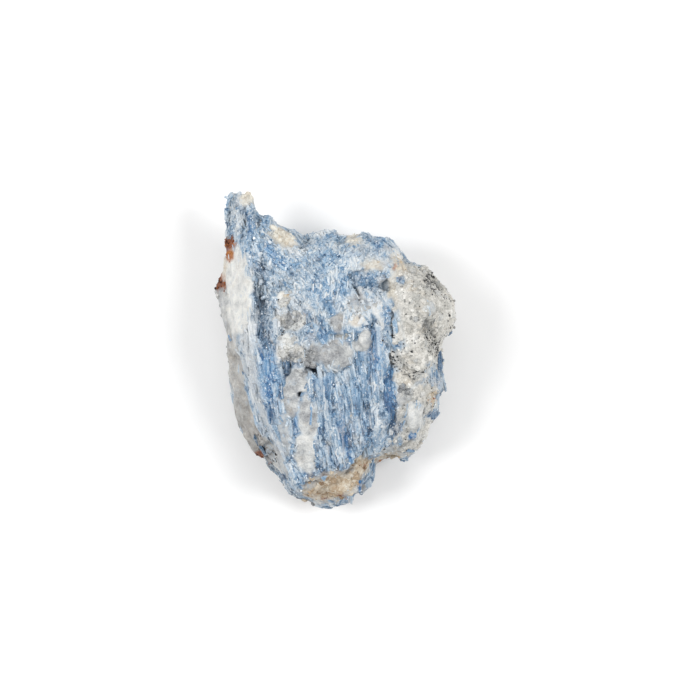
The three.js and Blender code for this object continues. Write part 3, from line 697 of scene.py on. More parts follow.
# %% The grain group
def make_grain():
    """Place is in mm and Size is the grains' size in mm. Puts out each grain's shade, the
    seams between grains, and a mask of scattered dark specks."""
    tree, start, end = new_group(
        "Rock grain",
        [("Place", "Vector"), ("Size", "Float")],
        [("Shade", "Float"), ("Seams", "Float"), ("Specks", "Float")],
    )
    fineness = reckon(tree, "DIVIDE", 1.0, start.outputs["Size"])
    place = start.outputs["Place"]
    wobble = put(tree, "TexNoise", None, Vector=place, Scale=1.2, Detail=2.0)
    moved = put(tree, "VectorMath", {"operation": "ADD"})
    join(tree, place, moved.inputs[0])
    join(tree, wobble.outputs["Color"], moved.inputs[1])
    cell = put(tree, "TexVoronoi", None, Vector=moved.outputs[0], Scale=fineness)
    shade = put(tree, "SeparateColor", None, Color=cell.outputs["Color"]).outputs["Red"]
    join(tree, shade, end.inputs["Shade"])
    edge = put(tree, "TexVoronoi", {"feature": "DISTANCE_TO_EDGE"}, Vector=moved.outputs[0],
               Scale=fineness)
    seams = minus(tree, 1.0, times(tree, edge.outputs["Distance"], 9.0), True)
    join(tree, seams, end.inputs["Seams"])
    spots = put(tree, "TexNoise", None, Vector=place, Scale=1.9, Detail=4.0, Roughness=0.7)
    above = minus(tree, spots.outputs["Fac"], 0.60)
    join(tree, times(tree, above, 14.0, True), end.inputs["Specks"])
    return tree


GRAIN = make_grain()
print("group made:", GRAIN.name)

# %% [markdown]
# ### Mottle
# Nothing in a broken rock is of one even colour. Milky veils, warm stains and a pale wash are
# noise that is cut off at a level, which leaves ragged patches. The grit is the finest noise.

# %% The mottle group
def make_mottle():
    """Place is in mm. Puts out ragged milky patches, a fine grit from -0.5 to 0.5, soft warm
    stains, and a pale wash that comes and goes."""
    tree, start, end = new_group(
        "Mottle",
        [("Place", "Vector")],
        [("Veil", "Float"), ("Grit", "Float"), ("Stain", "Float"), ("Wash", "Float")],
    )
    place = start.outputs["Place"]

    def patches(scale, detail, level, sharpness):
        """A mask of the places where the noise rises over the level."""
        waves = put(tree, "TexNoise", None, Vector=place, Scale=scale, Detail=detail, Roughness=0.7)
        above = minus(tree, waves.outputs["Fac"], level)
        return times(tree, above, sharpness, clamp=True)

    join(tree, patches(0.55, 6.0, 0.50, 5.0), end.inputs["Veil"])
    join(tree, patches(0.24, 4.0, 0.53, 5.0), end.inputs["Stain"])
    join(tree, patches(0.36, 5.0, 0.56, 6.0), end.inputs["Wash"])
    grit = put(tree, "TexNoise", None, Vector=place, Scale=2.4, Detail=3.0, Roughness=0.6)
    join(tree, minus(tree, grit.outputs["Fac"], 0.5), end.inputs["Grit"])
    return tree


MOTTLE = make_mottle()
print("group made:", MOTTLE.name)

# %% [markdown]
# ### Kyanite
# One ramp runs from pale grey-blue through steel blue to the dark of the clear blades. The
# streaks and the grit shift it, a milky veil lies over it in ragged patches, and each blade
# adds the depth of blue stored on it.

# %% Kyanite colours and the blades' material
KYANITE = [
    (0.00, paint(216, 218, 218)), (0.20, paint(198, 207, 213)), (0.40, paint(160, 184, 203)),
    (0.58, paint(117, 154, 186)), (0.76, paint(81, 126, 164)), (0.90, paint(53, 95, 135)),
    (1.00, paint(38, 71, 103)),
]
ASHEN_KYANITE = [
    (0.00, paint(213, 216, 218)), (0.20, paint(196, 202, 207)), (0.40, paint(171, 180, 188)),
    (0.58, paint(142, 155, 166)), (0.76, paint(106, 123, 139)), (0.90, paint(76, 92, 108)),
    (1.00, paint(50, 64, 78)),
]
ROYAL = (*paint(41, 103, 160), 1)
MILK = (*paint(212, 213, 212), 1)
BREAK_WHITE = (*paint(218, 222, 225), 1)


def place_in_mm(tree):
    """Object coordinates, counted in millimetres."""
    place = put(tree, "TexCoord").outputs["Object"]
    return put(tree, "Mapping", {"vector_type": "POINT"}, Vector=place,
               Scale=(1000, 1000, 1000)).outputs[0]


def kyanite_colour(tree, streaks, mottle, blue):
    """The colour for a depth of blue, shifted by the streaks and the grit, greyer where it is
    ashen, then veiled with milk and whitened by the breaks. The clearest blades are royal."""
    tone = plus(tree, blue, times(tree, streaks.outputs["Tone"], 1.15))
    tone = plus(tree, tone, times(tree, mottle.outputs["Grit"], 0.8))
    ash = plus(tree, read(tree, "ash"), times(tree, mottle.outputs["Grit"], 0.8), True)
    colour = blend(tree, ash, ramp(tree, tone, KYANITE), ramp(tree, tone, ASHEN_KYANITE))
    deep = times(tree, minus(tree, tone, 0.35), 1.6, clamp=True)
    colour = blend(tree, times(tree, deep, read(tree, "royal")), colour, ROYAL)
    ragged = times(tree, minus(tree, mottle.outputs["Veil"], 0.4), 0.6)
    milk = plus(tree, read(tree, "milk"), ragged, True)
    colour = blend(tree, times(tree, milk, 0.85), colour, MILK)
    share = times(tree, streaks.outputs["Breaks"], 0.6)
    return blend(tree, share, colour, BREAK_WHITE)


def bump(tree, height, distance):
    """Turns a height into a normal; the distance is how high a value of 1 stands, in mm."""
    raised = put(tree, "Bump", None, Height=height, Distance=distance * MM, Strength=1.0)
    return raised.outputs["Normal"]


def make_blade_material():
    """Kyanite in each blade's own coordinates, so that its streaks run along it."""
    material, tree, shader = new_material("kyanite blades")
    streaks = use(tree, STREAKS, Grain=read(tree, "grain", "Vector"))
    mottle = use(tree, MOTTLE, Place=place_in_mm(tree))
    join(tree, kyanite_colour(tree, streaks, mottle, read(tree, "blue")), shader.inputs["Base Color"])
    rough_part = times(tree, streaks.outputs["Breaks"], 0.3)
    join(tree, plus(tree, rough_part, 0.30), shader.inputs["Roughness"])
    relief = plus(tree, streaks.outputs["Height"], mottle.outputs["Grit"])
    join(tree, bump(tree, relief, 0.14), shader.inputs["Normal"])
    shader.inputs["IOR"].default_value = 1.6
    return material


BLADE_FINISH = make_blade_material()
print("material made:", BLADE_FINISH.name)

# %% [markdown]
# ### Quartz
# Milky quartz lets some light through, so it has a plain share of transmission over the
# quartz refractive index of 1.55, with a rough enough surface to blur what is behind it.

# %% Quartz
QUARTZ_STOPS = [
    (0.10, paint(107, 110, 114)), (0.34, paint(162, 164, 166)), (0.52, paint(193, 195, 194)),
    (0.72, paint(219, 219, 216)), (0.90, paint(236, 236, 231)),
]
PALE_BLUE = (*paint(158, 180, 202), 1)
TAN = (*paint(206, 191, 168), 1)


def quartz_colour(tree, place, mottle):
    """Cloudy white, greyer where it is clear, with a thin veil of blue and warm stains."""
    cloud = put(tree, "TexNoise", None, Vector=place, Scale=0.32, Detail=5.0, Roughness=0.6)
    milk = times(tree, minus(tree, cloud.outputs["Fac"], 0.5), 1.2)
    milk = plus(tree, milk, times(tree, mottle.outputs["Grit"], 0.55))
    milk = plus(tree, milk, 0.76)
    milk = minus(tree, milk, times(tree, read(tree, "clear"), 0.55))
    colour = ramp(tree, milk, QUARTZ_STOPS)
    colour = blend(tree, times(tree, mottle.outputs["Wash"], 0.5), colour, PALE_BLUE)
    return blend(tree, times(tree, mottle.outputs["Stain"], 0.3), colour, TAN)


def make_quartz_material():
    """Quartz that lets a quarter of the light through, with an uneven, cracked surface."""
    material, tree, shader = new_material("milky quartz")
    place = place_in_mm(tree)
    mottle = use(tree, MOTTLE, Place=place)
    join(tree, quartz_colour(tree, place, mottle), shader.inputs["Base Color"])
    crack = put(tree, "TexNoise", None, Vector=place, Scale=1.1, Detail=5.0, Roughness=0.65)
    join(tree, plus(tree, times(tree, crack.outputs["Fac"], 0.3), 0.12),
         shader.inputs["Roughness"])
    join(tree, bump(tree, crack.outputs["Fac"], 0.5), shader.inputs["Normal"])
    shader.inputs["IOR"].default_value = 1.55
    shader.inputs["Transmission Weight"].default_value = 0.25
    return material


QUARTZ_FINISH = make_quartz_material()
print("material made:", QUARTZ_FINISH.name)

# %% [markdown]
# ### Grains, feldspar, rust and mica
# These differ only in their colours, their shine and how rough they are, so one function
# makes them all. The shade stored on each grain picks its place on the ramp.

# %% Grains, feldspar, rust and mica
def stained(tree, colour, mottle, share):
    """The colour with the warm stains laid over it."""
    return blend(tree, times(tree, mottle.outputs["Stain"], share), colour, TAN)


def make_grain_material(name, stops, roughness, relief, stain=0.0):
    """A grain's own shade, stored on it, picks its colour; fine noise mottles it."""
    material, tree, shader = new_material(name)
    place = place_in_mm(tree)
    mottle = use(tree, MOTTLE, Place=place)
    shift = times(tree, mottle.outputs["Grit"], 0.7)
    colour = ramp(tree, plus(tree, read(tree, "shade"), shift), stops)
    join(tree, stained(tree, colour, mottle, stain), shader.inputs["Base Color"])
    join(tree, bump(tree, mottle.outputs["Grit"], relief), shader.inputs["Normal"])
    shader.inputs["Roughness"].default_value = roughness
    return material


ROCK_STOPS = [
    (0.0, paint(108, 109, 107)), (0.25, paint(160, 160, 156)), (0.5, paint(198, 196, 190)),
    (0.75, paint(218, 216, 210)), (1.0, paint(238, 237, 233)),
]
FELDSPAR_STOPS = [
    (0.0, paint(116, 92, 68)), (0.22, paint(162, 139, 112)), (0.45, paint(190, 175, 153)),
    (0.7, paint(207, 199, 184)), (1.0, paint(228, 225, 214)),
]
RUST_STOPS = [
    (0.0, paint(56, 30, 20)), (0.35, paint(118, 63, 34)), (0.65, paint(168, 101, 50)),
    (1.0, paint(186, 132, 84)),
]
MICA_STOPS = [(0.0, paint(30, 30, 32)), (0.6, paint(72, 72, 74)), (1.0, paint(140, 140, 140))]
ROCK_FINISH = make_grain_material("rock grains", ROCK_STOPS, roughness=0.42, relief=0.2, stain=0.35)
FELDSPAR_FINISH = make_grain_material("cream feldspar", FELDSPAR_STOPS, roughness=0.5, relief=0.2,
                                      stain=0.2)
RUST_FINISH = make_grain_material("rust crust", RUST_STOPS, roughness=0.8, relief=0.3)
MICA_FINISH = make_grain_material("dark mica", MICA_STOPS, roughness=0.22, relief=0.03)
print("materials so far:", len(bpy.data.materials))

# %% [markdown]
# ### The body under them
# The body carries every mineral at once. It reads the masks stored on its points and mixes
# the same colours, so that what shows between the small pieces matches them.

# %% The body's material
SEAM_GREY, SPECK_GREY = (*paint(120, 118, 112), 1), (*paint(56, 56, 58), 1)
# painted shade: a blue-grey for sunken places and a dark blue for the cracks
RECESS_SHADE_BLUE, CRACK_SHADE_BLUE = (*paint(88, 102, 116), 1), (*paint(44, 52, 62), 1)
DOWN, ASLANT = -81, -44  # degrees: the two main directions of the blades


def rotated_grain(tree, place, degrees):
    """The place in blade coordinates for blades at one angle."""
    turned = put(tree, "Mapping", {"vector_type": "POINT"}, Vector=place,
                 Rotation=(0, 0, math.radians(-degrees)))
    return turned.outputs[0]


def make_body_material():
    """Every mineral's colour, laid over one another by the masks stored on the body."""
    material, tree, shader = new_material("broken body")
    place = place_in_mm(tree)
    mottle = use(tree, MOTTLE, Place=place)
    down = use(tree, STREAKS, Grain=rotated_grain(tree, place, DOWN))
    aslant = use(tree, STREAKS, Grain=rotated_grain(tree, place, ASLANT))
    blue, slant = read(tree, "blue"), read(tree, "slant")
    kyanite = blend(tree, slant, kyanite_colour(tree, down, mottle, blue),
                    kyanite_colour(tree, aslant, mottle, blue))
    quartz = quartz_colour(tree, place, mottle)
    coarse = use(tree, GRAIN, Place=place, Size=1.6)
    fine = use(tree, GRAIN, Place=place, Size=0.6)
    mixed = plus(tree, times(tree, coarse.outputs["Shade"], 0.25),
                   times(tree, fine.outputs["Shade"], 0.3))
    mixed = plus(tree, mixed, times(tree, read(tree, "shade"), 0.5))
    rock = stained(tree, ramp(tree, mixed, ROCK_STOPS), mottle, 0.35)
    cream = ramp(tree, mixed, FELDSPAR_STOPS)
    rust = ramp(tree, mixed, RUST_STOPS)
    colour = blend(tree, read(tree, "quartz"), kyanite, quartz)
    colour = blend(tree, read(tree, "matrix"), colour, rock)
    colour = blend(tree, read(tree, "feldspar"), colour, cream)
    seams = times(tree, coarse.outputs["Seams"],
                   times(tree, read(tree, "matrix"), 0.3))
    colour = blend(tree, seams, colour, SEAM_GREY)
    specks = times(tree, fine.outputs["Specks"], read(tree, "specks"), True)
    colour = blend(tree, specks, colour, SPECK_GREY)
    colour = blend(tree, read(tree, "rust"), colour, rust)
    # painted shade: the sunken places and the cracks are darkened in the colour
    hollow = times(tree, read(tree, "hollow"), 0.35)
    colour = blend(tree, hollow, colour, RECESS_SHADE_BLUE)
    crack = times(tree, read(tree, "crack"), 0.8, clamp=True)
    colour = blend(tree, crack, colour, CRACK_SHADE_BLUE)
    join(tree, colour, shader.inputs["Base Color"])

    mask = plus(tree, read(tree, "matrix"), read(tree, "feldspar"), True)
    join(tree, plus(tree, times(tree, mask, 0.2), 0.36), shader.inputs["Roughness"])
    other = reckon(tree, "MAXIMUM", mask, read(tree, "quartz"))
    lines = times(tree, down.outputs["Height"], minus(tree, 1.0, other))
    relief = plus(tree, lines, times(tree, mottle.outputs["Grit"], 1.2))
    crystal = put(tree, "TexNoise", None, Vector=place, Scale=0.9, Detail=6.0, Roughness=0.6)
    broken = times(tree, crystal.outputs["Fac"], times(tree, read(tree, "quartz"), 3.0))
    relief = plus(tree, relief, broken)
    join(tree, bump(tree, relief, 0.2), shader.inputs["Normal"])
    shader.inputs["IOR"].default_value = 1.58
    return material


BODY_FINISH = make_body_material()
print("material made:", BODY_FINISH.name)

# %% [markdown]
# ## The broken body
# A copy of the CAD solid is merged into one skin and remeshed into small even faces. Every
# point then moves along its normal by a height worked out from the minerals there: steps and
# ridges where blades lie side by side, curved facets in quartz, and bumps in granular rock.

# %% Remesh the CAD solid
VOXEL = 0.52  # mm


def remeshed_copy(source, voxel):
    """A copy of the mesh with doubles merged, remeshed into squares of about that size."""
    mesh = source.data.copy()
    work = bmesh.new()
    work.from_mesh(mesh)
    bmesh.ops.remove_doubles(work, verts=work.verts, dist=1e-6)
    work.to_mesh(mesh)
    work.free()
    piece = bpy.data.objects.new("kyanite_body", mesh)
    bpy.context.collection.objects.link(piece)
    remesh = piece.modifiers.new("even faces", "REMESH")
    remesh.mode, remesh.voxel_size = "VOXEL", voxel * MM
    depsgraph = bpy.context.evaluated_depsgraph_get()
    even = bpy.data.meshes.new_from_object(piece.evaluated_get(depsgraph))
    piece.modifiers.clear()
    piece.data = even
    return piece


def points_and_normals(mesh):
    """The mesh's points in mm and their normals, as arrays."""
    points = np.empty(len(mesh.vertices) * 3, np.float32)
    normals = points.copy()
    mesh.vertices.foreach_get("co", points)
    mesh.vertices.foreach_get("normal", normals)
    return points.reshape(-1, 3).astype(float) / MM, normals.reshape(-1, 3).astype(float)


def first_corners(mesh):
    """The number of the first point of every face."""
    starts = np.empty(len(mesh.polygons), np.int32)
    corners = np.empty(len(mesh.loops), np.int32)
    mesh.polygons.foreach_get("loop_start", starts)
    mesh.loops.foreach_get("vertex_index", corners)
    return corners[starts]


body = remeshed_copy(cluster, VOXEL)
even_points, even_normals = points_and_normals(body.data)
print("body points:", len(even_points), "faces:", len(body.data.polygons))

# %% [markdown]
# Each point of the body now asks every list of patches how much of each mineral it holds.
# The masks are stored on the points, where the material reads them. The blades and grains
# that are set in later ask them too.

# %% The minerals at every point of the body
def minerals(points, normals):
    """Every mask and tone at the points, as a dictionary of arrays from 0 to 1. The patches
    are drawn in plan, so on the sides they are shifted about, or they would run straight down."""
    steep = 3 * smooth((0.5 - normals[:, 2]) / 0.4) + 4 * smooth((0.15 - normals[:, 2]) / 0.3)
    shift = np.stack([rough(points / 5.5, 3, salt) for salt in (34, 37, 39)], -1)
    points = points + steep[:, None] * shift
    clean = cover(points, CLEAN_QUARTZ, 0.3, 1.0)
    matrix = cover(points, ROCK, 0.26, 2.8) * (1 - clean) * (1 - cover(points, ISLANDS, 0.3, 0.8))
    quartz = np.maximum(cover(points, QUARTZ, 0.16, 1.8) * (1 - matrix), clean)
    under = smooth((0.1 - normals[:, 2]) / 0.6)  # the sides and the underside are mixed
    drift = smooth(0.5 + 2.2 * rough(points / (9, 16, 7), 3, 15))
    quartz = np.maximum(quartz, 0.85 * under * drift * (1 - matrix))
    feldspar = cover(points, FELDSPAR, 0.5, 1.8)
    rust = cover(points, RUST, 0.4, 1.4)
    stain = smooth(3.2 * rough(points / 7, 4, 44) - 1.15)
    rust = np.maximum(rust, 0.7 * under * stain)
    blotch = cells(points / 2.7, 23)[2] - 0.5
    sugary = np.maximum(cover(points, SUGARY), 0.5 * under)
    clear = np.maximum(cover(points, GLASSY), 0.5 * under) + (0.1 + 0.5 * sugary) * blotch
    shade = 0.55 + 0.20 * rough(points / 4.2, 4, 18) + 0.34 * blotch + changes(points, ROCK_SHADE)
    faint = 0.08 * smooth(4 * rough(points / 4, 2, 63))
    slant = smooth((np.degrees(blade_angle(points)) + 66) / 14)  # 1 where the blades run aslant
    return {
        "matrix": matrix, "quartz": quartz, "feldspar": feldspar, "rust": rust,
        "clear": np.clip(clear, 0, 1), "sugary": sugary,
        "specks": cover(points, SPECKS, 0.45, 1.0),
        "shade": np.clip(shade, 0, 1),
        "blue": np.clip(blueness(points) + 0.06 * under, 0, 1),
        "milk": milkiness(points), "ash": ashes(points),
        "royal": np.maximum(cover(points, ROYAL_BLADES, 0.3, 0.5), faint),
        "slant": slant,
    }


found = minerals(even_points, even_normals)
print("share of kyanite:", (1 - found["quartz"] - found["matrix"]).clip(0).mean().round(2))

# %% [markdown]
# ## The relief
# A few hollows, cracks and swells are large enough to be listed one by one. Hollows and swells
# are ellipses, and a crack is a bell curve of the distance to a straight line.

# %% Hollows, swells and cracks
RELIEF = [  # x, y, half width, half length, turn, height
    (9.2, 21.2, 3.4, 2.2, -10, -0.4), (15.0, 20.0, 1.4, 2.2, 30, -0.5), (28.6, 6.2, 2.2, 3.4, 20, -1.3),
    (22.6, 6.6, 1.3, 1.4, 0, -0.7), (30.6, 21.0, 3.0, 2.2, -40, -0.8), (-22.8, 10.0, 1.4, 13, 3, -0.5),
    (12.6, 3.5, 1.6, 7.0, 3, -0.7), (17.3, -14, 1.0, 7.5, 3, -0.8), (-14.8, -4.8, 1.0, 2.0, 0, -0.8),
    (-12.6, 8.5, 1.2, 4.0, 20, -0.5), (24.6, 11.5, 3.0, 3.4, 0, 0.8), (23.4, 2.2, 2.4, 2.6, 0, 0.7),
    (29.6, 14.0, 2.8, 2.8, 0, 0.6), (-9.0, -27.0, 2.4, 10, 2, 0.7), (10.8, 12.0, 3.4, 2.0, 0, 0.5),
    (-1.0, 7.6, 2.6, 1.2, 0, -0.7), (-20.6, -5.0, 1.9, 3.2, 4, -0.5), (-17.2, 36.0, 2.0, 3.6, 48, 0.4),
    (0.3, -1.0, 5.4, 4.6, 0, 0.35), (9.1, 3.4, 1.8, 2.6, -28, 0.30), (0.6, 8.9, 2.8, 2.4, 20, 0.35),
    (24.7, -20.3, 3.2, 4.4, 0, 0.55), (-14.2, 0.0, 3.6, 2.2, 0, 0.4), (-12.6, 9.6, 3.6, 2.4, 0, 0.4),
]
# the body's material also paints each crack dark blue, as painted shade
CRACKS = [  # from x, y to x, y, then half width and depth
    (4.6, 23.4, 7.4, 17.6, 0.35, 1.0), (17.0, 12.0, 17.2, 3.5, 0.5, 1.0),
    (17.0, -1.0, 17.4, -8.5, 0.45, 0.9), (-11.1, -13.1, -11.0, -13.4, 0.6, 2.2),
    (-8.9, -5.2, -5.9, -6.4, 0.55, 1.9), (-1.2, 5.0, 4.8, 5.4, 0.5, 0.5),
    (-12.2, -42.0, -5.0, -40.8, 0.5, 0.8), (3.0, -38.4, 8.0, -32.6, 0.5, 0.8),
    (-9.8, 1.6, -7.6, -3.4, 0.4, 0.8), (6.1, 5.6, 6.0, -0.6, 0.3, 0.35),
    (-15.2, -38.4, -13.8, -40.4, 0.45, 1.2), (15.4, 2.6, 15.4, 1.8, 0.7, 1.0),
    (-25.6, -26.2, -21.4, -33.8, 0.5, 1.0), (24.2, -27.4, 20.4, -30.4, 0.4, 0.7),
    (-28.6, 41.8, -27.8, 38.0, 0.4, 0.6), (28.4, 9.4, 30.4, 4.4, 0.5, 0.8),
    (-19.6, 14.6, -17.8, 9.6, 0.4, 0.7), (-14.6, 2.0, -13.6, -1.2, 0.4, 0.8),
]


def placed_relief(points):
    """The height of the hollows and swells at each point, fading out past their edges."""
    plan = wandering(points, 3.0, 0.8, (21, 27))
    heights = [high * smooth(1.4 - ellipse_distance(plan, *ellipse)) for *ellipse, high in RELIEF]
    return np.sum(heights, axis=0)


def crack_depth(points):
    """How deep the cracks are at each point, from the distance to the line between the ends."""
    plan = wandering(points, 1.6, 0.7, (41, 43))
    depth = np.zeros(len(points))
    for x0, y0, x1, y1, wide, deep in CRACKS:
        start, run = np.array([x0, y0]), np.array([x1 - x0, y1 - y0])
        share = np.clip((plan - start) @ run / (run @ run), 0, 1)
        far = np.linalg.norm(plan - start - share[:, None] * run, axis=1)
        depth = np.maximum(depth, deep * np.exp(-((far / wide) ** 2)))
    return depth


facing_up = smooth((even_normals[:, 2] - 0.2) / 0.4)
found["crack"] = crack_depth(even_points) * facing_up
swells = placed_relief(even_points) * facing_up
print("deepest crack in mm:", found["crack"].max().round(2))

# %% [markdown]
# The rest of the relief is broken by chance, each mineral in its own way. The sizes of the
# breaks are in mm: along the blades, across them and up, or the same in all directions.

# %% Move the points
BROAD_BLADE, FINE_BLADE = (11, 2.0, 2.0), (4.5, 0.95, 0.95)
BLOCK_BREAK, ROCK_BREAK, ROCK_GRAIN = 2.6, 3.2, 1.3
CHUNK_BREAK, FLANK_BREAK, SIDE_BREAK = (5.4, 6.6, 5.4), (3.4, 5.2, 3.0), (8, 9, 6.5)
MOST, MOST_AT_SIDE = 1.2, 0.05  # mm: the outline is already at its full width
SOFT = 0.3  # mm below the limit where the height starts to level off


def broken_height(points, normals):
    """How far each point moves out along its normal, in mm: terraces of blades, chunks of
    quartz, bumps of grain, and large flat breaks in the sides, with a soft upper limit."""
    run = along_blades(points)
    bladed = (1 - found["quartz"]) * (1 - found["matrix"]) * (1 - found["feldspar"])
    _, _, step = cells(run / BROAD_BLADE, 3)
    _, gap, small = cells(run / FINE_BLADE, 5)
    terraces = 1.1 * (step - 0.5) + 0.55 * (small - 0.5) - 0.25 * smooth(1 - gap / 0.12)
    blocky, _, block = blocks(points)
    broken = 0.9 * (block - 0.5) + 1.1 * (facets(points / BLOCK_BREAK, 7) - 0.7)
    terraces = (1 - blocky) * terraces + blocky * broken
    sugary = found["sugary"]
    chunks = (0.6 + 0.7 * sugary) * (facets(points / CHUNK_BREAK, 2) - 0.6)
    chunks += 0.25 * (0.3 + sugary) * rough(points / 1.6, 2, 8)
    near, _, size = cells(points / ROCK_GRAIN, 9)
    grainy = 0.6 * (0.55 - near) + 0.4 * (size - 0.5) + 0.6 * (facets(points / ROCK_BREAK, 4) - 0.6)
    slender = smooth((points[:, 1] - 37) / 4)  # only the prong reaches that far
    side = smooth((0.62 - normals[:, 2]) / 0.4)
    large = 1.8 * (1 - 0.85 * slender) * (facets(points / SIDE_BREAK, 6) - 0.85)
    coarse = found["matrix"] + found["feldspar"] * (1 - found["matrix"])
    flank = smooth((0.85 - normals[:, 2]) / 0.3) * (1 - sugary)
    chunks += flank * (0.9 * (facets(points / FLANK_BREAK, 9) - 0.85))
    height = bladed * terraces + found["quartz"] * chunks + coarse * grainy + side * large
    height += 0.30 * rough(points / 2.2, 3, 12) + swells - found["crack"]
    most = MOST - (MOST - MOST_AT_SIDE) * side
    levelled = most - SOFT * np.exp(-(height - most + SOFT) / SOFT)
    height = np.where(height > most - SOFT, levelled, height)
    return height * smooth(points[:, 2] / 4)  # the flat that it rests on stays flat


moved = broken_height(even_points, even_normals)
# painted shade: how far each point sank in, which the body's material darkens
found["hollow"] = smooth((-moved - 0.35) / 1.1) * smooth(even_points[:, 2] / 4)
body_points = even_points + moved[:, None] * even_normals
body_points[:, 2] = np.maximum(body_points[:, 2], 0)
body.data.vertices.foreach_set("co", (body_points * MM).astype(np.float32).ravel())
body.data.update()
add_values(body.data, found)
body.data.materials.clear()
body.data.materials.append(BODY_FINISH)
body.data.polygons.foreach_set("use_smooth", found["quartz"][first_corners(body.data)] > 0.5)
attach(body, "root")
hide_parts("kyanite_cluster")
body_points, body_normals = points_and_normals(body.data)
print("moved from", moved.min().round(2), "to", moved.max().round(2), "mm")

# %% [markdown]
# ## How far something stands out of the body
# Small pieces have to lie flush, as parts of one rock, and not stand up like straw. So it
# must be quick to ask how far a point is above the skin. A coarse grid round the body holds
# the nearest skin point of each cell; the height is then measured along that point's normal.

# %% The nearest skin point of every cell
CELL, TOP_CELL = 1.0, 0.8  # mm: round the body, and in the plan
MARGIN = 7  # cells round the body
HANDED_ON = 6  # how many cells away a claim can reach


def nearest_cells(points):
    """Every skin point claims its own cell. Cells then hand the claim on to their neighbours
    a few times, and each cell keeps the claim that is nearest to its middle."""
    low = points.min(0) - MARGIN * CELL
    shape = ((points.max(0) - low) / CELL).astype(int) + MARGIN
    claim = np.full(shape, -1)
    claim[tuple(((points - low) / CELL).astype(int).T)] = np.arange(len(points))
    middle = low + (np.moveaxis(np.indices(shape), 0, -1) + 0.5) * CELL
    best = np.where(claim >= 0, np.linalg.norm(points[claim] - middle, axis=-1), np.inf)
    for step, axis in itertools.product([-1, 1] * HANDED_ON, range(3)):
        other = np.roll(claim, step, axis)
        far = np.where(other >= 0, np.linalg.norm(points[other] - middle, axis=-1), np.inf)
        claim = np.where(far < best, other, claim)
        best = np.minimum(far, best)
    return low, claim


grid_low, grid_claim = nearest_cells(body_points)


def skin_under(points):
    """The number of the skin point nearest to each point."""
    cell = ((points - grid_low) / CELL).astype(int)
    cell = np.clip(cell, 0, np.array(grid_claim.shape) - 1)
    return grid_claim[tuple(np.moveaxis(cell, -1, 0))]


def height_above(points):
    """How far each point stands out of the skin in mm, and the way out there."""
    nearest = skin_under(points)
    out = even_normals[nearest]
    return ((points - body_points[nearest]) * out).sum(-1), out


def top_heights(points, cell):
    """The height of the top of the body over a grid in the plan: the highest skin point in
    each square, where an empty square takes the highest of its neighbours."""
    low = points[:, :2].min(0) - 3 * cell
    shape = ((points[:, :2].max(0) - low) / cell).astype(int) + 4
    top = np.full(shape, -1.0)
    np.maximum.at(top, tuple(((points[:, :2] - low) / cell).astype(int).T), points[:, 2])
    for _ in range(3):
        around = [np.roll(top, step, (0, 1)) for step in itertools.product((-1, 0, 1), repeat=2)]
        top = np.where(top < 0, np.max(around, axis=0), top)
    return low, top


top_low, top_grid = top_heights(body_points, TOP_CELL)


def top_at(plan):
    """The height of the top of the body at places in the plan."""
    square = ((plan - top_low) / TOP_CELL).astype(int)
    square = np.clip(square, 0, np.array(top_grid.shape) - 1)
    return top_grid[tuple(np.moveaxis(square, -1, 0))]


print("cells:", grid_claim.shape, "top of the chunk:", top_at(np.array([0.0, 0.0])).round(1))

# %% [markdown]
# ## Blades
# A blade is a flat bar with bevelled long edges and broken ends. Its section is six points,
# carried along four stations. Each one is set into the body where the kyanite mask is high,
# turned to the run of the blades, and sunk so that only its upper face and edges stand out.

# %% Scatter places on the body
SEED = 20
random = np.random.default_rng(SEED)
SECTION = np.array([(-0.5, -0.1), (-0.36, 0.42), (0.33, 0.5), (0.5, 0.0), (0.34, -0.5), (-0.36, -0.46)])
STATIONS = np.array([-0.5, -0.4, 0.36, 0.5])  # along the length, as shares of it


def scatter(count, weight):
    """Picks body points with a chance in proportion to the weight."""
    share = np.clip(weight, 0, None)
    return random.choice(len(weight), count, p=share / share.sum())


def blade_rings(place, along, out, length, width, thick):
    """Rings of many blades: the section, scaled by each blade's width and thickness, at the
    stations along it. The ends are slimmer and cut slantwise, and the whole bows slightly."""
    count = len(place)
    side = unit(np.cross(along, out))
    slim = np.stack([random.uniform(0.5, 0.95, count), np.ones(count),
                     random.uniform(0.85, 1.0, count), random.uniform(0.4, 0.9, count)], 1)
    slant = random.normal(0, 0.45, (count, 4)) * np.array([1, 0.5, 0.5, 1])
    bow = random.normal(0, 0.012, count)[:, None] * (1 - (2 * STATIONS) ** 2)
    across = SECTION[:, 0] * (slim * width[:, None])[:, :, None]
    up = SECTION[:, 1] * (slim**0.7 * thick[:, None])[:, :, None]
    forward = (STATIONS * length[:, None])[:, :, None] + across * slant[:, :, None]
    up = up + (bow * length[:, None])[:, :, None]
    return (place[:, None, None] + forward[..., None] * along[:, None, None]
            + across[..., None] * side[:, None, None] + up[..., None] * out[:, None, None])


def sunk(rings, most):
    """Pushes each ring of a blade back into the skin until its middle stands out by no more
    than that many mm. Also says how far the blade stood out before."""
    height, out = height_above(rings.mean(axis=2))
    back = np.maximum(height - most[:, None], 0)
    return rings - (back[..., None] * out)[:, :, None], height.max(axis=1)


APART = 900  # mm between the streaks of one blade and another, so that no two are alike


def blade_grain(count, length, width):
    """Blade coordinates for every point of every blade: along, across, and its own number."""
    number = random.random(count)
    every = (count, len(STATIONS), len(SECTION))
    along = np.broadcast_to((STATIONS * length[:, None])[:, :, None], every)
    across = np.broadcast_to((SECTION[:, 0] * width[:, None])[:, None], every)
    own = np.broadcast_to((number * APART)[:, None, None], every)
    grid = np.stack([along + own, across + own / 7, own], -1).reshape(count, -1, 3)
    return np.concatenate([grid, grid[:, [0, -1]]], axis=1)


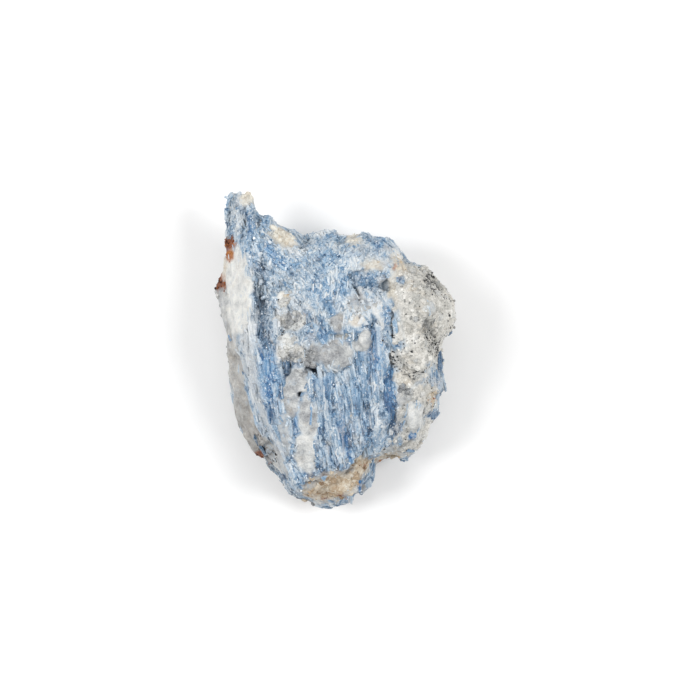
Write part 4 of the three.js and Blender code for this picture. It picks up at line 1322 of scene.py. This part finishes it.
def blade_values(rings, length, width, shift):
    """What the blades' material reads: the skin's depth of blue under each point, shifted by
    each blade's own amount, how royal it is there, and the blade coordinates."""
    count = len(rings)
    points = rings.reshape(count, -1, 3)
    points = np.concatenate([points, points[:, [0, -1]]], axis=1)
    under = skin_under(points)
    tone = found["blue"][under] - 0.25 * found["quartz"][under] + shift[:, None]
    return {"blue": np.clip(tone, 0, 1), "royal": found["royal"][under], "milk": found["milk"][under],
            "ash": found["ash"][under], "grain": blade_grain(count, length, width)}


LOOSE = 1.5  # mm that a blade may stand out before it is sunk; further out it is left away
FLATNESS = (0.25, 0.5)  # the thickness as a share of the width, from and to
THINNEST, JITTER = 0.15, 0.2  # mm: added to the thickness, and how far off its point it lies
FOLLOW = 0.93  # how closely a blade follows the slope of the skin; 1 is all the way
DIP = 0.35  # how far blades dip or rise, as a share of how far they stray
ROLL = 15  # degrees that they are rolled about their length


def grow_blades(name, count, weight, lengths, widths, proud, spread_angle, tone_spread, over):
    """Sets blades into the body. Lengths and widths are (typical, spread of the logarithm),
    proud is how far they stand out, and spread_angle is how far they stray, in degrees. A
    blade that reaches over another mineral with a mask above over is left away."""
    pick = scatter(count, weight)
    normal = body_normals[pick]
    length = lengths[0] * np.exp(random.normal(0, lengths[1], count))
    width = widths[0] * np.exp(random.normal(0, widths[1], count))
    thick = width * random.uniform(*FLATNESS, count) + THINNEST
    angle = blade_angle(body_points[pick]) + np.radians(random.normal(0, spread_angle, count))
    dip = np.radians(random.normal(0, spread_angle * DIP, count))
    run = np.stack([np.cos(angle) * np.cos(dip), np.sin(angle) * np.cos(dip), np.sin(dip)], -1)
    straight = (run * normal).sum(-1, keepdims=True)
    along = unit(run - FOLLOW * straight * normal)
    facing = (along * normal).sum(-1)
    out = unit(normal - facing[:, None] * along)
    roll = np.radians(random.normal(0, ROLL, count))[:, None]
    out = unit(out * np.cos(roll) + np.cross(along, out) * np.sin(roll))
    inward = np.abs(facing) * (length / 2 - 0.3)
    lift = random.uniform(-0.3, 1.0, count) * proud - thick * 0.30
    place = body_points[pick] + random.normal(0, JITTER, (count, 3))
    place = place - np.sign(facing)[:, None] * along * inward[:, None] + normal * lift[:, None]
    rings = blade_rings(place, along, out, length, width, thick)
    rings, stood = sunk(rings, random.uniform(0.1, 1.0, count) * proud - thick * 0.3)
    rings[..., 2] = np.maximum(rings[..., 2], 0.0)
    values = blade_values(rings, length, width, random.normal(0, tone_spread, count))
    ends = skin_under(rings[:, [0, -1]].mean(axis=2))
    other = [found[mask][ends].max(axis=1) for mask in ("quartz", "matrix", "feldspar")]
    kept = (stood < LOOSE) & (np.max(other, axis=0) < over)
    piece = skins(name, rings[kept], BLADE_FINISH, {key: value[kept] for key, value in values.items()})
    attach(piece, "root")
    print(name, int(kept.sum()), "blades")


BARE = [  # smooth faces of single large blades, where nothing small is set
    (8.8, 21.2, 3.2, 1.8, 14, 1.0), (15.0, 20.0, 1.5, 1.9, 0, 1.0), (-15.3, -5.0, 1.1, 2.3, 0, 1.0),
    (-12.2, 5.8, 2.0, 0.8, 8, 1.0), (24.3, -26.6, 1.2, 1.1, 0, 1.0), (-20.8, -4.8, 1.8, 2.6, 0, 0.7),
    (9.8, -42.4, 1.8, 2.0, 10, 0.8), (-4.2, -38.0, 1.4, 1.4, 0, 0.7), (-4.7, 5.8, 1.6, 3.0, 20, 0.8),
    (1.6, 4.7, 3.0, 0.8, 3, 1.0),
]


def kyanite_weight():
    """How likely a blade is at each body point: where no other mineral or crack is."""
    other = np.maximum.reduce([found["quartz"], found["matrix"], found["feldspar"], found["rust"],
                               np.clip(found["crack"] / 0.5, 0, 1), cover(body_points, BARE, 0.2, 0.5)])
    return np.clip(1.02 - other, 0, 1) ** 2


upper = smooth((body_normals[:, 2] - 0.1) / 0.3)  # 1 on the top and 0 on upright or undercut sides
lower_half = smooth((12 - body_points[:, 1]) / 6)  # 1 below Y 6 mm and 0 above 12 mm
bladed = kyanite_weight()
slender = smooth((body_points[:, 1] - 38) / 4)  # 1 in the prong
sides = bladed * (1 - upper) * (1 - 0.95 * slender)
edge_of_quartz = 4 * found["quartz"] * (1 - found["quartz"]) * (1 - found["matrix"]) * upper
loose_bits = 1 - 0.55 * cover(body_points, BLOCKY, 0.35, 2.0)
print("kyanite weight, mean:", bladed.mean().round(2))

# %% [markdown]
# The long blades lie in the lower field, with laths between them. In the upper field they are
# shorter and crossed, and chips of them are strewn all over the top.

# %% Grow them, area by area
flat_top = smooth((body_normals[:, 2] - 0.35) / 0.3)
below_field, above_field = bladed * upper * lower_half, bladed * upper * (1 - lower_half)
strewn = bladed * flat_top * loose_bits * (1 - 0.5 * lower_half)
sides = sides * smooth(body_points[:, 2] / 2)
AREAS = [  # name, how many, where, lengths, widths, proud in mm, stray in degrees, tones, over
    ("slabs_lower_field", 800, below_field * loose_bits**4, (7.2, 0.4), (1.7, 0.35), 0.26, 3, 0.14, 0.55),
    ("laths_lower_field", 1000, below_field * loose_bits, (4.0, 0.45), (0.75, 0.35), 0.28, 5, 0.17, 0.55),
    ("laths_upper_field", 800, above_field * loose_bits, (2.2, 0.4), (0.8, 0.35), 0.30, 24, 0.14, 0.55),
    ("broken_chips", 2300, strewn, (1.3, 0.4), (0.85, 0.4), 0.34, 40, 0.17, 0.55),
    ("chips_in_quartz", 260, edge_of_quartz, (2.0, 0.4), (0.6, 0.3), 0.3, 16, 0.10, 1.1),
    ("blades_round_sides", 2200, sides, (3.0, 0.4), (1.4, 0.4), 0.06, 8, 0.10, 0.55),
]
for area in AREAS:
    grow_blades(*area)

# %% [markdown]
# The blades that stand out most to the eye are listed one by one, from end to end along the top.

# %% Single blades
SINGLE_BLADES = [  # from x, y to x, y, then width, depth of blue, how royal and how grey
    (-7.4, -16.4, -7.7, -22.8, 1.1, 0.62, 0.4, 0.1), (-12.5, -20.0, -11.2, -25.6, 1.3, 0.70, 0.4, 0.2),
    (-12.8, -26.4, -13.7, -32.1, 1.0, 0.60, 0.2, 0.4), (-10.7, -14.2, -8.6, -9.8, 0.9, 0.74, 0.0, 0.5),
    (2.2, -24.4, 5.2, -34.8, 0.9, 0.70, 0.8, 0.0), (16.3, -7.4, 17.0, -18.0, 1.8, 0.90, 0.2, 0.1),
    (17.4, -16.0, 18.9, -27.0, 1.4, 0.82, 0.3, 0.1), (-21.6, -1.8, -21.0, -8.0, 2.4, 0.56, 0.4, 0.0),
    (-19.4, -1.6, -19.0, -7.6, 1.8, 0.50, 0.2, 0.0), (-21.2, -8.0, -20.9, -14.5, 1.3, 0.68, 0.5, 0.0),
    (-20.7, -14.5, -20.1, -22.0, 1.5, 0.60, 0.4, 0.0), (-15.4, -2.5, -15.1, -7.2, 2.5, 0.92, 0.0, 0.5),
    (-6.2, 9.2, -3.2, 2.2, 2.6, 0.52, 0.1, 0.3), (-1.0, -15.0, 0.6, -23.6, 1.8, 0.62, 0.2, 0.1),
    (-5.0, -36.4, -3.0, -40.0, 2.4, 0.56, 0.0, 0.3), (12.0, 8.0, 12.6, -4.0, 1.8, 0.58, 0.2, 0.0),
    (14.2, 3.0, 14.6, -4.6, 1.4, 0.66, 0.2, 0.1), (6.2, -8.0, 7.0, -20.0, 1.3, 0.60, 0.1, 0.2),
    (2.0, 21.0, 2.4, 18.0, 1.8, 0.56, 0.1, 0.1), (9.8, -40.0, 10.6, -44.4, 2.8, 0.52, 0.0, 0.4),
    (7.6, -40.4, 7.6, -44.6, 0.9, 0.74, 0.9, 0.0), (24.2, -25.4, 24.4, -28.0, 2.4, 0.62, 0.9, 0.0),
    (-33.5, 5.4, -32.9, 3.2, 1.0, 0.60, 0.6, 0.1), (30.6, -18.0, 31.2, -22.0, 2.2, 0.70, 0.2, 0.2),
    (-27.2, 43.0, -25.6, 36.2, 1.1, 0.72, 0.2, 0.2), (9.8, -22.0, 10.8, -30.0, 1.2, 0.58, 0.0, 0.3),
    (-22.4, 32.4, -16.6, 27.8, 1.5, 0.62, 0.3, 0.0), (-20.6, 29.4, -14.6, 24.4, 1.2, 0.56, 0.1, 0.1),
    (-25.8, -26.6, -21.8, -33.2, 1.2, 0.80, 0.0, 0.6), (13.0, -15.0, 13.4, -21.0, 1.0, 0.56, 0.0, 0.3),
    (-16.0, -40.6, -10.8, -44.4, 1.6, 0.60, 0.0, 0.4), (32.7, -0.2, 32.9, -6.4, 1.6, 0.76, 0.1, 0.4),
    (22.0, -31.0, 25.6, -31.6, 1.0, 0.80, 0.1, 0.4),
]


def lay_single_blades():
    """Blades between two places on the top, a little sunk, with the section of the others."""
    marks = np.array(SINGLE_BLADES)
    first, last, width = marks[:, 0:2], marks[:, 2:4], marks[:, 4]
    ends = np.stack([0.85 * first + 0.15 * last, 0.15 * first + 0.85 * last], 1)
    ends = np.concatenate([ends, top_at(ends)[..., None]], -1)
    along = unit(ends[:, 1] - ends[:, 0])
    out = unit(np.array([0.0, 0.0, 1.0]) - along[:, 2:] * along)
    thick = 0.3 * width + 0.3
    place = ends.mean(axis=1) - out * (0.38 * thick)[:, None]
    length = np.linalg.norm(last - first, axis=1)
    rings = blade_rings(place, along, out, length, width, thick)
    each = rings.shape[1] * rings.shape[2] + 2
    blue, royal, ash = (np.repeat(marks[:, column, None], each, axis=1) for column in (5, 6, 7))
    milk = np.full((len(marks), each), 0.1)
    values = {"blue": blue, "royal": royal, "milk": milk, "ash": ash,
              "grain": blade_grain(len(marks), length, width)}
    piece = skins("single_blades", rings, BLADE_FINISH, values)
    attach(piece, "root")
    print("single blades:", len(marks))


lay_single_blades()

# %% [markdown]
# ## Grains
# A broken grain is worked out from its middle: in every direction its skin lies where the
# nearest of a few random cutting planes is met. With many planes it is rounded, with few it
# is a sharp chip. Rings of directions from pole to pole make it a closed skin.

# %% Grains from cutting planes
def grain_rings(place, half, planes, rows, around):
    """Rings of many grains: the distance out to the nearest of the cutting planes, which
    stand 0.7 to 1 away from the middle, stretched to the grain's half sizes."""
    count = len(place)
    tilt = np.pi * (np.arange(rows) + 0.5) / rows
    turn = 2 * np.pi * np.arange(around) / around
    tilt, turn = np.meshgrid(tilt, turn, indexing="ij")
    ways = np.stack([np.sin(tilt) * np.cos(turn), np.sin(tilt) * np.sin(turn), -np.cos(tilt)], -1)
    facing = unit(random.normal(0, 1, (count, planes, 3)))
    away = random.uniform(0.7, 1.0, (count, planes))
    toward = np.einsum("rak,npk->nrap", ways, facing)
    reach = np.min(away[:, None, None] / np.maximum(toward, 0.25), axis=-1)
    reach = np.minimum(reach, 1.25)
    frame_x = unit(random.normal(0, 1, (count, 3)))
    frame_y = unit(np.cross(frame_x, random.normal(0, 1, (count, 3))))
    axes = np.stack([frame_x, frame_y, np.cross(frame_x, frame_y)], 1)
    local = reach[..., None] * ways
    turned = np.einsum("nrak,nkl->nral", local, axes)
    return place[:, None, None] + turned * half[:, None, None]


GRAIN_JITTER = 0.15  # mm that a grain lies off its point


def set_grains(name, count, weight, size, material, sink, planes=6, spread=0.12, rows=4, around=6):
    """Sets grains into the body where the weight is high. Size is (typical, spread of the
    logarithm), and sink is how deep a grain's middle lies below the skin, in half sizes. A
    grain's shade is the skin's there, give or take the spread."""
    pick = scatter(count, weight)
    radius = size[0] * np.exp(random.normal(0, size[1], count)) / 2
    half = radius[:, None] * random.uniform(0.8, 1.15, (count, 3))
    place = body_points[pick] + random.normal(0, GRAIN_JITTER, (count, 3))
    place = place - body_normals[pick] * (radius * sink)[:, None]
    rings = grain_rings(place, half, planes, rows, around)
    rings[..., 2] = np.maximum(rings[..., 2], 0.0)
    values = {"shade": np.clip(found["shade"][pick] + random.normal(0, spread, count), 0, 1),
              "clear": np.clip(found["clear"][pick] + random.normal(0, spread, count), 0, 1)}
    piece = skins(name, rings, material, values)
    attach(piece, "root")
    print(name, count, "grains")


off_floor = smooth(body_points[:, 2] / 1.5)
rock = found["matrix"] ** 2 * off_floor
set_grains("rock_grains", 2200, rock, (0.95, 0.35), ROCK_FINISH, sink=0.7, spread=0.14)
set_grains("clear_grains", 120, rock, (1.8, 0.35), QUARTZ_FINISH, sink=0.7, planes=9,
           rows=8, around=12)
sugar = found["quartz"] ** 2 * found["sugary"] * off_floor * (0.25 + 0.75 * upper)
set_grains("quartz_grains", 900, sugar, (1.2, 0.4), QUARTZ_FINISH, sink=0.6, spread=0.3)
cream = np.clip(found["feldspar"] - 0.3, 0, 1) ** 2 * off_floor
set_grains("feldspar_grains", 700, cream, (1.1, 0.4), FELDSPAR_FINISH, sink=0.7, spread=0.16)
rusty = found["rust"] ** 2 * off_floor
set_grains("rust_crumbs", 300, rusty, (0.65, 0.3), RUST_FINISH, sink=0.8, planes=9, spread=0.25)

# %% [markdown]
# Mica is a pile of thin leaves. Each flake is a flat six-sided plate, dark and shiny. The
# same plates in pale colours are the small shiny cleavage faces all over the blades; their
# pale colour is also painted glint.

# %% Mica flakes and glints
def flake_rings(place, out, radius, thick):
    """Two rings for each flake: a ragged hexagon, and the same one a thickness higher."""
    count = len(place)
    turn = np.arange(6) * np.pi / 3 + random.uniform(0, 2, (count, 1))
    side = unit(np.cross(out, random.normal(0, 1, (count, 3))))
    other = np.cross(out, side)
    reach = radius[:, None] * random.uniform(0.7, 1.2, (count, 6))
    sideways, otherway = (reach * np.cos(turn))[..., None], (reach * np.sin(turn))[..., None]
    flat = sideways * side[:, None] + otherway * other[:, None]
    step = (thick[:, None] * out)[:, None]
    low, high = place[:, None] + flat - step, place[:, None] + flat * 0.9 + step
    return np.stack([low, high], 1)


def set_flakes(name, count, weight, size, material, tilt, lift, shade):
    """Sets flakes on the body where the weight is high, tilted at random about its normal and
    lifted by up to that many mm. Shade is (typical, spread)."""
    pick = scatter(count, weight)
    radius = size * np.exp(random.normal(0, 0.35, count)) / 2
    out = unit(body_normals[pick] + random.normal(0, tilt, (count, 3)))
    place = body_points[pick] + body_normals[pick] * random.uniform(0.0, lift, (count, 1))
    rings = flake_rings(place, out, radius, radius * 0.16)
    rings[..., 2] = np.maximum(rings[..., 2], 0.0)
    piece = skins(name, rings, material, {"shade": np.clip(random.normal(*shade, count), 0, 1)})
    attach(piece, "root")
    print(name, count, "flakes")


# painted highlight: the flakes' pale colours stand in for glints, besides their real shine
GLINT_STOPS = [(0.0, paint(176, 196, 214)), (1.0, paint(236, 240, 242))]
GLINT_FINISH = make_grain_material("cleavage and painted glints", GLINT_STOPS, roughness=0.12, relief=0.02)
flaky = (found["specks"] ** 2 + 0.02 * found["matrix"]) * off_floor
set_flakes("mica_flakes", 950, flaky, 0.52, MICA_FINISH, tilt=0.55, lift=0.15, shade=(0.5, 0.35))
set_flakes("glints", 1500, bladed * upper, 0.38, GLINT_FINISH, tilt=0.3, lift=0.45,
           shade=(0.6, 0.3))

# %% [markdown]
# ## The floor
# A plain white surface, large enough to run out of every view.

# %% Floor
def make_floor():
    """One large square, which belongs to the stage and not to the piece."""
    material, _, shader = new_material("white floor")
    shader.inputs["Base Color"].default_value = (0.92, 0.92, 0.92, 1)
    shader.inputs["Roughness"].default_value = 0.8
    reach = 3000.0  # mm
    corners = np.array([(-reach, -reach, 0), (reach, -reach, 0), (reach, reach, 0), (-reach, reach, 0)])
    floor = mesh_piece("floor", corners, np.arange(4), np.array([4]), material)


make_floor()

# %% [markdown]
# ## Sizes
# The number of triangles in each piece, and in all of them, is printed.

# %% Count the triangles and finish
pieces = [o for o in bpy.data.objects if o.type == "MESH" and not o.hide_render]
triangles = {o.name: len(o.data.loops) - 2 * len(o.data.polygons) for o in pieces}
print("triangles:", triangles, "in all", sum(triangles.values()))
